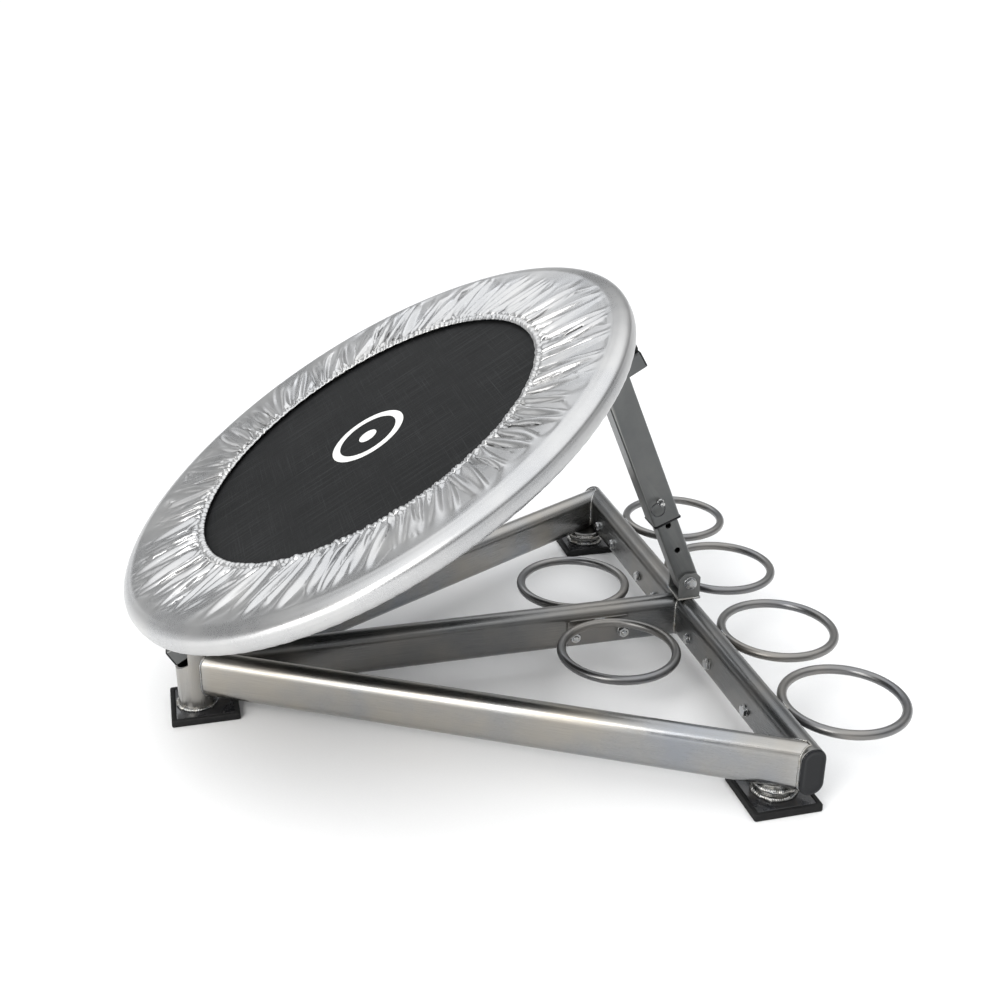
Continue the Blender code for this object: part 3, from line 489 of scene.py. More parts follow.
class Shape:
    """A mesh in the making. Its UV map is in metres: U round a section, V along it."""

    def __init__(self):
        self.bm = bmesh.new()
        self.uv = self.bm.loops.layers.uv.new("UVMap")

    def loft(self, loops, closed=False):
        """Skin through loops of equal length, capped at its ends or closed on itself."""
        rings = [[self.bm.verts.new(point) for point in loop] for loop in loops]
        count = len(rings[0])
        round_it = [0.0]
        for i in range(count):
            step = (Vector(loops[0][(i + 1) % count]) - Vector(loops[0][i])).length
            round_it.append(round_it[-1] + step)
        along = [0.0]
        for first, second in zip(loops, loops[1:] + loops[:1]):
            middle = sum((Vector(b) - Vector(a) for a, b in zip(first, second)), Vector()) / count
            along.append(along[-1] + middle.length)
        pairs = len(rings) if closed else len(rings) - 1
        for k in range(pairs):
            first, second = rings[k], rings[(k + 1) % len(rings)]
            for i in range(count):
                j = (i + 1) % count
                face = self.bm.faces.new((first[i], first[j], second[j], second[i]))
                corners = ((round_it[i], along[k]), (round_it[i + 1], along[k]),
                           (round_it[i + 1], along[k + 1]), (round_it[i], along[k + 1]))
                for loop, corner in zip(face.loops, corners):
                    loop[self.uv].uv = corner
        if not closed:
            for ring in (rings[0], rings[-1]):
                if len({tuple(round(c, 7) for c in vert.co) for vert in ring}) > 2:
                    self.bm.faces.new(ring)
        return rings

    def sweep(self, path, radius, sides=8, closed=False, flat=1.0, up=None):
        """Round bar along a path. The radius is one number or one for each point."""
        count = len(path)
        path = [Vector(point) for point in path]
        radii = radius if hasattr(radius, "__len__") else [radius] * count
        loops = []
        normal = None
        for i, point in enumerate(path):
            before = path[i - 1] if i or closed else point
            after = path[(i + 1) % count] if i < count - 1 or closed else point
            tangent = (after - before).normalized()
            if up is not None:
                normal = Vector(up)
            elif normal is None:
                normal = Z_AXIS if abs(tangent.z) < 0.9 else X_AXIS
            side = tangent.cross(normal).normalized()
            normal = side.cross(tangent).normalized()
            section = [(radii[i] * math.cos(math.tau * k / sides),
                        radii[i] * flat * math.sin(math.tau * k / sides)) for k in range(sides)]
            loops.append(place(section, point, side, normal))
        return self.loft(loops, closed=closed)

    def turn(self, profile, matrix=Matrix(), steps=40, closed=False):
        """Surface of revolution about the matrix's Z: the profile is (radius, height) pairs."""
        loops = [[matrix @ polar(max(radius, ON_AXIS), angle, height) for angle in turns(steps)]
                 for radius, height in profile]
        return self.loft(loops, closed=closed)

    def slab(self, outline, low, high, bevel, matrix=Matrix(), steps=3):
        """Plate with rounded edges. The outline is a function of the inset."""
        levels = []
        for i in range(steps + 1):
            angle = math.pi / 2 * i / steps
            levels.append((low + bevel * (1 - math.sin(angle)), bevel * (1 - math.cos(angle))))
        levels = levels[::-1] + [(low + high - z, inset) for z, inset in levels]
        levels.sort()
        loops = [[matrix @ Vector((u, v, z)) for u, v in outline(inset)] for z, inset in levels]
        return self.loft(loops)

    def hex_stack(self, flats, levels, matrix, points=48):
        """Hexagonal bar turned down to a limiting radius at each level: (height, limit)."""
        loops = []
        for height, limit in levels:
            loop = []
            for angle in turns(points):
                offset = (angle + math.pi / 6) % (math.pi / 3) - math.pi / 6
                radius = min(flats / 2 / math.cos(offset), limit)
                loop.append(matrix @ polar(radius, angle, height))
            loops.append(loop)
        return loops


def build(name, shape, material, body, replaces=(), matrix=None, angle=40.0, ride=True):
    """Turns a shape into a piece that rides on a body and stands for CAD nodes."""
    bmesh.ops.remove_doubles(shape.bm, verts=shape.bm.verts, dist=2e-6)
    bmesh.ops.recalc_face_normals(shape.bm, faces=shape.bm.faces)
    mesh = bpy.data.meshes.new(name)
    shape.bm.to_mesh(mesh)
    shape.bm.free()
    if matrix is not None:
        mesh.transform(matrix)
    mesh.shade_smooth()
    mesh.set_sharp_from_angle(angle=math.radians(angle))
    mesh.materials.append(MATERIALS[material])
    return add_piece(name, mesh, body, replaces, ride)


def add_piece(name, mesh, body, replaces=(), ride=True):
    piece = bpy.data.objects.new(name, mesh)
    bpy.context.scene.collection.objects.link(piece)
    if ride:
        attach(piece, body)
    if replaces:
        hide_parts(*replaces)
    return piece


def carve(piece, *tools, bevel=0.0):
    """Cuts the tools out of the piece, rounds the new edges and keeps the result."""
    for tool in tools:
        modifier = piece.modifiers.new("cut", "BOOLEAN")
        modifier.operation = "DIFFERENCE"
        modifier.solver = "EXACT"
        modifier.object = tool
    if bevel:
        modifier = piece.modifiers.new("round", "BEVEL")
        modifier.width = bevel
        modifier.segments = 2
        modifier.limit_method = "ANGLE"
        modifier.angle_limit = math.radians(40)
    bpy.context.view_layer.update()
    graph = bpy.context.evaluated_depsgraph_get()
    mesh = bpy.data.meshes.new_from_object(piece.evaluated_get(graph))
    mesh.name = piece.name
    piece.modifiers.clear()
    piece.data = mesh
    mesh.shade_smooth()
    mesh.set_sharp_from_angle(angle=math.radians(35))
    weighted = piece.modifiers.new("weighted", "WEIGHTED_NORMAL")
    weighted.keep_sharp = True
    for tool in tools:
        bpy.data.objects.remove(tool, do_unlink=True)
    return piece


def cutter(loops, closed=False):
    """Hidden solid for carve(), which deletes it."""
    shape = Shape()
    shape.loft(loops, closed=closed)
    bmesh.ops.recalc_face_normals(shape.bm, faces=shape.bm.faces)
    mesh = bpy.data.meshes.new("tool")
    shape.bm.to_mesh(mesh)
    shape.bm.free()
    tool = bpy.data.objects.new("tool", mesh)
    tool.hide_render = True
    bpy.context.scene.collection.objects.link(tool)
    return tool


def prism_cutter(outline, origin, across, up, axis, reach=CUT_REACH, matrix=Matrix()):
    """Straight tool that reaches equally far to both sides of its origin."""
    return cutter([[matrix @ p for p in place(outline, Vector(origin) + axis * side, across, up)]
                   for side in (-reach, reach)])


def cross_cutter(radius, y, z, matrix=Matrix(), count=32):
    """Tool for a bore along X."""
    return prism_cutter(circle(radius, count), (0, y, z), Y_AXIS, Z_AXIS, X_AXIS, matrix=matrix)


def frame_along(origin, along):
    """Matrix whose Z runs along the given direction."""
    along = Vector(along).normalized()
    across = X_AXIS if abs(along.x) < 0.9 else Y_AXIS
    side = (across - along * across.dot(along)).normalized()
    matrix = Matrix((side, along.cross(side), along)).transposed().to_4x4()
    matrix.translation = origin
    return matrix


# ---- welds -----------------------------------------------------------------------------

def resample(path, step, closed):
    """Points along the path about a step apart."""
    points = [Vector(p) for p in path]
    if closed:
        points.append(points[0])
    along = [0.0]
    for first, second in zip(points, points[1:]):
        along.append(along[-1] + (second - first).length)
    count = max(3, round(along[-1] / step))
    made = []
    k = 0
    for i in range(count if closed else count + 1):
        target = along[-1] * i / count
        while k < len(points) - 2 and along[k + 1] < target:
            k += 1
        share = (target - along[k]) / max(along[k + 1] - along[k], 1e-9)
        made.append(points[k].lerp(points[k + 1], share))
    return made


def weld(name, path, body, width=0.006, closed=True, ripple=0.0016, lumps=0.18, seed=0, flat=0.8):
    """Bead of overlapping ripples along a path."""
    step = ripple / 4
    line = resample(path, step, closed)
    radii = []
    jog = []
    for i, point in enumerate(line):
        phase = (i * step / ripple) % 1.0
        crest = 0.86 + 0.14 * math.sqrt(max(0.0, 1 - (2 * phase - 1) ** 2))
        sample = point * 130 + Vector((seed, 0, 0))
        radii.append(width / 2 * crest * (1 + lumps * noise.noise(sample)))
        jog.append(noise.noise_vector(point * 90 + Vector((0, seed, 0))) * width * 0.10)
    moved = [p + j for p, j in zip(line, jog)]
    shape = Shape()
    shape.sweep(moved, radii, sides=10, closed=closed, flat=flat)
    return build(name, shape, "weld", body, angle=80)


# ---- base frame ------------------------------------------------------------------------

def rail_end_at_post(u):
    """How far along a rail its skin meets the post, for a point u beside its centreline."""
    return math.sqrt(max(0.0, POST_RADIUS ** 2 - u ** 2))


def rail_end_at_bar(u, z, angle):
    """How far along a rail its skin meets the crossbar's front skin."""
    centre_half = TUBE_HEIGHT / 2 - TUBE_WIDTH / 2
    off = max(0.0, abs(z) - centre_half)
    depth = math.sqrt(max(0.0, (TUBE_WIDTH / 2) ** 2 - off ** 2))
    return (BAR_DISTANCE - depth + u * math.sin(angle)) / math.cos(angle)


def rail_point(angle, along, u, z):
    direction = Vector((math.sin(angle), math.cos(angle), 0))
    across = Vector((math.cos(angle), -math.sin(angle), 0))
    return POST + direction * along + across * u + Z_AXIS * (BAR.z + z)


def add_rails():
    for name, angle in (("left", -SIDE_RAIL_ANGLE), ("centre", 0.0), ("right", SIDE_RAIL_ANGLE)):
        section = flat_oval()
        start = [rail_end_at_post(u) - BURIED for u, v in section]
        end = [rail_end_at_bar(u, v, angle) + BURIED for u, v in section]
        loops = []
        for share in (0.0, 0.02, 0.5, 0.98, 1.0):
            loops.append([rail_point(angle, a + (b - a) * share, u, v)
                          for (u, v), a, b in zip(section, start, end)])
        shape = Shape()
        shape.loft(loops)
        # The centre rail takes the darker copy of the frame steel: painted shade.
        steel = "frame_steel" if angle else "shaded_steel"
        build(name + "_rail_tube", shape, steel, "root", [name + "_rail"])
        bead = [rail_point(angle, rail_end_at_bar(u, v, angle) - 0.001, u, v)
                for u, v in flat_oval(-0.0006)]
        weld(name + "_rail_rear_weld", bead, "root", 0.0046, seed=len(name), flat=0.7)
        outline = flat_oval(-0.0004)
        if angle:
            outer = [(u, v) for u, v in outline if u * angle >= 0]
            outer.sort(key=lambda point: point[1])
        else:
            outer = outline
        bead = [rail_point(angle, rail_end_at_post(u) + 0.0005, u, v) for u, v in outer]
        weld(name + "_rail_front_weld", bead, "root", 0.0040, closed=not angle,
             seed=2 + len(name), flat=0.7)


def add_crossbar():
    edge = 0.0008
    levels = ((-BAR_HALF, edge), (edge - BAR_HALF, 0.0), (-0.9 * BAR_HALF, 0.0), (0.0, 0.0),
              (0.9 * BAR_HALF, 0.0), (BAR_HALF - edge, 0.0), (BAR_HALF, edge))
    shape = Shape()
    shape.loft([place(flat_oval(inset), (x, BAR.y, BAR.z), Y_AXIS, Z_AXIS) for x, inset in levels])
    # The crossbar takes the darker copy of the frame steel: painted shade.
    build("crossbar_tube", shape, "shaded_steel", "root", ["crossbar"])


def add_caps():
    """Moulded end plugs: a flange with a soft edge and a shallow dished face."""
    for side, sign in (("left", -1), ("right", 1)):
        node = side + "_crossbar_cap"
        low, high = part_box(node)
        outer = high.x if sign > 0 else low.x
        inner = sign * BAR_HALF
        depth = abs(outer - inner)
        levels = [(-0.020, 0.0036), (-0.004, 0.0033), (0.0002, 0.0033), (0.0002, 0.0004),
                  (0.0008, 0.0), (depth * 0.5, 0.0), (depth * 0.80, 0.0006),
                  (depth * 0.96, 0.0018), (depth, 0.0034), (depth * 0.99, 0.0050),
                  (depth * 0.86, 0.0066), (depth * 0.84, 0.0100), (depth * 0.84, 0.0150)]
        loops = [place(flat_oval(inset), (inner + sign * x, BAR.y, BAR.z), Y_AXIS, Z_AXIS)
                 for x, inset in levels]
        shape = Shape()
        shape.loft(loops)
        build(side + "_end_plug", shape, "black_plastic", "root", [node], angle=50)


def add_feet():
    for side in ("front", "left", "right"):
        pad = side + "_foot_pad"
        low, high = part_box(pad)
        centre = (low + high) / 2
        size = high.x - low.x
        plate_low, plate_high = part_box(side + "_foot_plate")
        plate_size = plate_high.x - plate_low.x
        base = Matrix.Translation((centre.x, centre.y, 0))

        def square(width, corner):
            return lambda inset: rounded_box(width - 2 * inset, width - 2 * inset,
                                             max(corner - inset, 0.0004), 5)
        outer = square(size, 0.004)
        inner = square(plate_size + 0.0006, 0.0025)
        floor_z = plate_low.z - 0.0003
        top = high.z
        rings = [(outer(0.0016), 0.0), (outer(0.0004), 0.0006), (outer(0.0), 0.0018),
                 (outer(0.0), top * 0.62), (outer(0.0003), top * 0.90), (outer(0.0012), top),
                 (inner(-0.0012), top), (inner(-0.0002), top - 0.0008), (inner(0.0), top - 0.002),
                 (inner(0.0), floor_z + 0.0004), (inner(0.0006), floor_z), (inner(0.010), floor_z)]
        shape = Shape()
        shape.loft([[base @ Vector((u, v, z)) for u, v in ring] for ring, z in rings])
        build(side + "_rubber_pad", shape, "rubber", "root", [pad], angle=50)
        shape = Shape()
        shape.slab(square(plate_size, 0.0025), plate_low.z, plate_high.z, 0.0007, base)
        build(side + "_plate", shape, "plate_steel", "root", [side + "_foot_plate"])


def add_front_post():
    """Pipe slotted at the top for the bed's spine; its walls carry the hinge bolt."""
    low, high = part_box("front_post")
    post = Matrix.Translation(POST)
    shape = Shape()
    inner = POST_RADIUS - POST_WALL
    edge = SAWN_EDGE
    shape.turn([(POST_RADIUS, low.z), (POST_RADIUS, high.z - edge),
                (POST_RADIUS - edge, high.z), (inner + edge, high.z),
                (inner, high.z - edge), (inner, low.z)], post, steps=72, closed=True)
    pipe = build("front_pipe", shape, "frame_steel", "root", ["front_post"])
    above = high.z + 0.02
    (y0, z0), (y1, z1), (y2, z2) = SLOT_FLOOR
    slot = [(y0, z0), (y1, z1), (y2, z2), (y2, above), (y0, above)]
    notch_z = z0 + (z1 - z0) * (POST_NOTCH_Y - y0) / (y1 - y0)
    notch = [(y0, z0), (POST_NOTCH_Y, notch_z), (POST_NOTCH_Y, above), (y0, above)]
    tools = [prism_cutter(outline, POST, Y_AXIS, Z_AXIS, X_AXIS, reach)
             for outline, reach in ((slot, POST_SLOT / 2), (notch, CUT_REACH))]
    bore = cross_cutter(M12["radius"] + GAP, HINGE.y, HINGE.z)
    carve(pipe, *tools, bore, bevel=0.0005)
    ring = [POST + Vector((u, v, low.z + 0.002)) for u, v in circle(POST_RADIUS + 0.0012, 64)]
    weld("front_post_base_weld", ring, "root", POST_WELD_WIDTH, ripple=0.0022,
         lumps=0.35, seed=7)


def stub(radius, bottom, top, matrix, steps):
    """Short round bar: the lower edge is rounded off, the upper one is hidden in its neighbour."""
    shape = Shape()
    shape.turn([(radius - 0.002, bottom), (radius, bottom + 0.0005), (radius, top),
                (radius - 0.002, top)], matrix, steps=steps)
    return shape


def add_foot_posts():
    """Stub posts under the rails' rear ends, with a heavy bead at top and bottom."""
    for seed, side in enumerate(("left", "right")):
        node = side + "_foot_post"
        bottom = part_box(node)[0].z
        centre = box_centre(side + "_foot_plate") * Vector((1, 1, 0))
        shape = stub(POST_RADIUS, bottom, BAR.z - TUBE_HEIGHT / 2 + 0.006,
                     Matrix.Translation(centre), 72)
        build(side + "_stub_post", shape, "frame_steel", "root", [node])
        for level, z in (("lower", bottom + 0.003), ("upper", STUB_UPPER_WELD_Z)):
            ring = [centre + Vector((u, v, z)) for u, v in circle(POST_RADIUS + 0.0022, 72)]
            weld(f"{side}_stub_{level}_weld", ring, "root", STUB_WELDS[level], ripple=0.0030,
                 lumps=0.5, seed=11 + seed * 5 + (level == "upper"), flat=0.85)


# ---- fasteners -------------------------------------------------------------------------

def hex_head(shape, size, thickness, matrix):
    """Chamfered hexagon head; its washer face is at the matrix's origin, outwards is +Z."""
    flats = size["flats"]
    corner = flats / 2 / math.cos(math.pi / 6)
    levels = [(0.0, flats * 0.47), (0.0004, flats * 0.485), (0.0005, corner)]
    for share, limit in ((0.80, 1.0), (0.87, 0.985), (0.94, 0.955), (0.985, 0.90), (1.0, 0.86),
                         (1.0, 0.30)):
        levels.append((thickness * share, corner * limit))
    shape.loft(shape.hex_stack(flats, levels, matrix))


def threaded_rod(shape, radius, start, end, matrix, thread_from):
    """Shank from start to end along the matrix's Z; it is ribbed as a thread near its end."""
    profile = [(0.0, start), (radius, start)]
    pitch = 0.0014
    z = thread_from
    profile.append((radius, z))
    while z + pitch < end - 0.0006:
        profile += [(radius * 0.88, z + pitch * 0.5), (radius, z + pitch)]
        z += pitch
    profile += [(radius * 0.86, end - 0.0004), (radius * 0.78, end), (0.0, end)]
    shape.turn(profile, matrix, steps=28)


def add_bolt_piece(name, size, centre, along, grip_start, grip_end, end, body, replaces):
    """Bolt whose head's face is at grip_start; its shank runs along to end."""
    matrix = frame_along(centre, along)
    head = frame_along(centre + along * (grip_start - WASHER_THICKNESS), -along)
    shape = Shape()
    hex_head(shape, size, size["head"] - WASHER_THICKNESS, head)
    threaded_rod(shape, size["radius"], grip_start - WASHER_THICKNESS, end, matrix, grip_end)
    build(name, shape, "zinc", body, replaces, angle=35)


def add_washer(name, size, centre, along, at, body):
    """Flat washer with rounded edges, one face at the given distance along."""
    matrix = frame_along(centre + along * at, along)
    outer = size["washer"]
    bore = size["radius"] + GAP
    t = WASHER_THICKNESS
    shape = Shape()
    shape.turn([(bore, 0.0), (outer - 0.0003, 0.0), (outer, 0.0003), (outer, t - 0.0003),
                (outer - 0.0003, t), (bore + 0.0002, t), (bore, t - 0.0002)], matrix, closed=True)
    build(name, shape, "zinc", body)


def add_nut_piece(name, size, centre, along, at, body, replaces=()):
    """Hexagon nut, chamfered on both faces, with a countersunk bore."""
    matrix = frame_along(centre + along * at, along)
    flats = size["flats"]
    corner = flats / 2 / math.cos(math.pi / 6)
    t = size["nut"]
    levels = [(0.0, corner * 0.88), (t * 0.06, corner * 0.95), (t * 0.14, corner),
              (t * 0.86, corner), (t * 0.94, corner * 0.95), (t, corner * 0.88)]
    shape = Shape()
    loops = shape.hex_stack(flats, levels, matrix)
    bore = size["radius"] * 0.96
    for radius, z in ((bore * 1.14, t), (bore, t - 0.0007), (bore, 0.0007), (bore * 1.14, 0.0)):
        loops.append([matrix @ polar(radius, angle, z) for angle in turns(48)])
    shape.loft(loops, closed=True)
    build(name, shape, "zinc", body, replaces, angle=35)


def fasten(name, size, centre, along, near, far, end, body, bolt_node, nut_node=None):
    """Bolt, two washers and a nut through a grip that runs from near to far."""
    add_bolt_piece(name + "_hex_bolt", size, centre, along, near, far, end, body, [bolt_node])
    add_washer(name + "_head_washer", size, centre, along, near - WASHER_THICKNESS, body)
    add_washer(name + "_nut_washer", size, centre, along, far, body)
    add_nut_piece(name + "_hex_nut", size, centre, along, far + WASHER_THICKNESS, body,
                  [nut_node] if nut_node else ())


def add_ring_fasteners():
    skin = TUBE_WIDTH / 2
    reach = skin + TAB_THICKNESS + GAP
    for i in range(1, 9):
        node = f"rear_ring_bolt_{i}"
        spot = box_centre(node)
        fasten(f"rear_ring_{i}", M10, Vector((spot.x, BAR.y, spot.z)), Y_AXIS, -skin, reach,
               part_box(node)[1].y - BAR.y, "root", node)
    for i in range(1, 3):
        node = f"side_ring_bolt_{i}"
        spot = box_centre(node)
        fasten(f"side_ring_{i}", M10, Vector((0, spot.y, spot.z)), X_AXIS, -reach, reach,
               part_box(node)[1].x, "root", node)


# ---- ball rings ------------------------------------------------------------------------

def add_ball_ring(name, node, centre, outward):
    """Bent bar, its butt joint closed by the tab's welds."""
    along = Z_AXIS.cross(outward)
    shape = Shape()
    path = place(circle(RING_RADIUS, 160), centre, outward, along)
    shape.sweep(path, BAR_RADIUS, sides=24, closed=True, up=Z_AXIS)
    build(name + "_bar", shape, "ring_steel", "root", [node])
    height = box_size(node).z
    face = RING_RADIUS + BAR_RADIUS - RING_WELD_DEPTH

    def outline(inset):
        return rounded_box(TAB_LENGTH - 2 * inset, height - 2 * inset, TAB_CORNER - inset, 6)
    matrix = Matrix((-along, Z_AXIS, -outward)).transposed().to_4x4()
    matrix.translation = Vector((centre.x, centre.y, box_centre(node).z)) - outward * face
    shape = Shape()
    shape.slab(outline, 0.0, TAB_THICKNESS, 0.0007, matrix)
    build(name + "_tab", shape, "ring_steel", "root")
    for k, level in ((1, "top"), (-1, "bottom")):
        spots = []
        for i in range(-6, 7):
            turn = 0.016 * i
            spots.append(centre - outward * (RING_RADIUS * math.cos(turn) + RING_WELD_BACK)
                         + along * (RING_RADIUS * math.sin(turn)) + Z_AXIS * (k * RING_WELD_LIFT))
        weld(f"{name}_{level}_weld", spots, "root", 0.0052, closed=False, ripple=0.0020,
             seed=len(name) + k)


def add_ball_rings():
    for i in range(1, 5):
        node = f"rear_ball_ring_{i}"
        low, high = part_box(node)
        centre = Vector(((low.x + high.x) / 2, high.y - RING_RADIUS - BAR_RADIUS, RING_Z))
        add_ball_ring(f"rear_ring_{i}", node, centre, Y_AXIS)
    for side, sign in (("left", -1), ("right", 1)):
        node = side + "_ball_ring"
        low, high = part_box(node)
        reach = RING_RADIUS + BAR_RADIUS
        x = high.x - reach if sign > 0 else low.x + reach
        add_ball_ring(side + "_ring", node, Vector((x, (low.y + high.y) / 2, RING_Z)),
                      X_AXIS * sign)


# ---- strut -----------------------------------------------------------------------------

def add_clevis():
    low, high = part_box("strut_clevis")
    middle = box_centre("strut_clevis")
    reach = (high.y - low.y) / 2
    chamfer = CLEVIS_CHAMFER
    outline = [(-reach, low.z), (reach, low.z), (reach, high.z - chamfer),
               (reach - chamfer, high.z), (-reach + chamfer, high.z), (-reach, high.z - chamfer)]
    origin = Vector((0, middle.y, 0))
    shape = Shape()
    shape.loft([place(outline, origin + X_AXIS * x, Y_AXIS, Z_AXIS) for x in (low.x, high.x)])
    bracket = build("strut_bracket", shape, "strut_steel", "root", ["strut_clevis"])
    slot_height = 0.08
    slot = rounded_box(CLEVIS_SLOT, slot_height, 0.003, 3)
    slot_z = low.z + CLEVIS_BASE + slot_height / 2
    tool = prism_cutter(slot, (0, middle.y, slot_z), X_AXIS, Z_AXIS, Y_AXIS)
    bolt = box_centre("strut_clevis_bolt")
    bore = cross_cutter(M12["radius"] + GAP, bolt.y, bolt.z)
    carve(bracket, tool, bore, bevel=0.0007)
    corners = [Vector((x, middle.y + y, low.z + 0.0008))
               for x, y in ((low.x - 0.0006, -reach), (high.x + 0.0006, -reach),
                            (high.x + 0.0006, reach), (low.x - 0.0006, reach))]
    weld("strut_bracket_weld", corners, "root", 0.0055, seed=21)
    near = -(box_size("strut_clevis").x / 2 + GAP)
    fasten("strut_foot", M12, Vector((0, bolt.y, bolt.z)), -X_AXIS, near, -near,
           -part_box("strut_clevis_bolt")[0].x, "root", "strut_clevis_bolt", "strut_clevis_nut")


def square_tube(side, wall, bottom, top, inner_corner=0.0015, lip=SAWN_EDGE):
    """Straight tube along Z with rounded corners, open at both ends."""
    levels = []
    for z, inset in ((bottom, lip), (bottom + lip, 0.0), ((bottom + top) / 2, 0.0),
                     (top - lip, 0.0), (top, lip)):
        levels.append((rounded_box(side - 2 * inset, side - 2 * inset, STRUT_CORNER, 6), z))
    bore = side - 2 * wall
    for z, inset in ((top, lip), (top - lip, 0.0), (bottom + lip, 0.0), (bottom, lip)):
        levels.append((rounded_box(bore + 2 * inset, bore + 2 * inset, inner_corner, 6), z))
    shape = Shape()
    shape.loft([place(section, (0, 0, z), X_AXIS, Y_AXIS) for section, z in levels], closed=True)
    return shape


def strut_levels(node):
    """Lowest and highest point of a strut tube along the strut."""
    inverse = STRUT.inverted()
    heights = [(inverse @ vertex.co).z for vertex in frame["nodes"][node].data.vertices]
    return min(heights), max(heights)


def add_strut():
    bottom, top = strut_levels("strut_lower")
    lower = build("strut_inner_tube", square_tube(INNER_SIDE, INNER_WALL, bottom, top),
                  "strut_steel", "strut_lower", ["strut_lower"], matrix=STRUT)
    holes = [cross_cutter(HOLE_RADIUS, 0, FIRST_HOLE + k * HOLE_PITCH, STRUT)
             for k in range(HOLE_COUNT)]
    carve(lower, cross_cutter(M12["radius"] + GAP, 0, 0, STRUT), *holes, bevel=0.0004)

    bottom, top = strut_levels("strut_upper")
    upper = build("strut_outer_tube", square_tube(OUTER_SIDE, OUTER_WALL, bottom, top),
                  "strut_steel", "strut_upper", ["strut_upper"], matrix=STRUT)
    add_strut_bushing(bottom)
    bore = OUTER_SIDE / 2 - OUTER_WALL
    above = top + 0.02
    mouth = [(-bore, MOUTH_Z), (bore, MOUTH_Z), (bore, above), (-bore, above)]
    origin = (0, 0, 0)
    tools = [prism_cutter(mouth, origin, X_AXIS, Z_AXIS, Y_AXIS, matrix=STRUT)]
    for sign in (-1, 1):
        over = 0.001
        edge = sign * (OUTER_SIDE / 2 + over)
        corner = [(edge, top + over), (edge - sign * FORK_CHAMFER, top + over),
                  (edge, top + over - FORK_CHAMFER)]
        tools.append(prism_cutter(corner, origin, Y_AXIS, Z_AXIS, X_AXIS, matrix=STRUT))
    pivot = STRUT.inverted() @ box_centre("strut_top_bolt")
    tools.append(cross_cutter(TOP_BORE_RADIUS, TOP_BORE_Y, pivot.z, STRUT))
    tools.append(cross_cutter(PIN_BORE_RADIUS, 0, PIN_Z, STRUT))
    carve(upper, *tools, bevel=0.0005)


def add_strut_bushing(level):
    """Plastic sleeve in the mouth of the outer tube; its lip is proud of the tube."""
    inner = INNER_SIDE + 0.0004
    sleeve = OUTER_SIDE - 2 * OUTER_WALL - 0.0002
    lip = OUTER_SIDE + 0.0018
    depth = 0.020
    levels = ((depth, inner), (-0.0030, inner), (-0.0034, inner + 0.0008), (-0.0034, lip - 0.0010),
              (-0.0028, lip), (-0.0004, lip), (-0.0001, lip - 0.0008), (-0.0001, sleeve),
              (depth, sleeve))
    shape = Shape()
    shape.loft([place(rounded_box(side, side, STRUT_CORNER * 0.6, 4), (0, 0, level + z),
                      X_AXIS, Y_AXIS) for z, side in levels], closed=True)
    build("strut_bushing", shape, "black_plastic", "strut_upper", matrix=STRUT, angle=40)


def add_lock_pin():
    """Turned pull pin with a collar and a rounded end, and the split ring that it carries."""
    low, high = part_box("lock_pin")
    wall = OUTER_SIDE / 2
    matrix = STRUT @ Matrix.Translation((0, 0, PIN_Z)) @ Matrix.Rotation(math.pi / 2, 4, "Y")
    end = high.x
    shank = 0.0045
    shape = Shape()
    shape.turn([(0.0, low.x), (shank - 0.0005, low.x), (shank, low.x + 0.0005),
                (shank, wall), (0.0062, wall + 0.0003), (0.0065, wall + 0.0008),
                (0.0065, wall + 0.0018), (0.0060, wall + 0.0026), (0.0054, wall + 0.0030),
                (shank, wall + 0.0034), (shank, end - 0.0022), (shank * 0.9, end - 0.0010),
                (shank * 0.62, end - 0.0003), (0.0, end)], matrix, steps=36)
    build("pull_pin", shape, "zinc", "lock_pin", ["lock_pin"], angle=35)

    centre = box_centre("pin_ring")
    hang = Vector(joints["ring_swing"]["axis"])
    down = Vector((0, -hang.z, hang.y)).normalized()
    if down.z > 0:
        down = -down
    steps = 120
    path = []
    for i in range(steps + 1):
        angle = 2 * math.tau * i / steps * 0.94
        slide = SPLIT_RING_WIRE * (2 * i / steps - 1)
        path.append(centre + X_AXIS * slide + down * (SPLIT_RING_RADIUS * math.cos(angle))
                    + hang.normalized() * (SPLIT_RING_RADIUS * math.sin(angle)))
    shape = Shape()
    shape.sweep(path, SPLIT_RING_WIRE, sides=10, up=X_AXIS)
    build("split_ring", shape, "plate_steel", "pin_ring", ["pin_ring"])


# ---- bed frame -------------------------------------------------------------------------

def in_bed(node):
    """Lowest and highest corner of a CAD node in the bed's own frame."""
    inverse = BED.inverted()
    points = np.array([tuple(inverse @ vertex.co) for vertex in frame["nodes"][node].data.vertices])
    return Vector(points.min(0)), Vector(points.max(0))


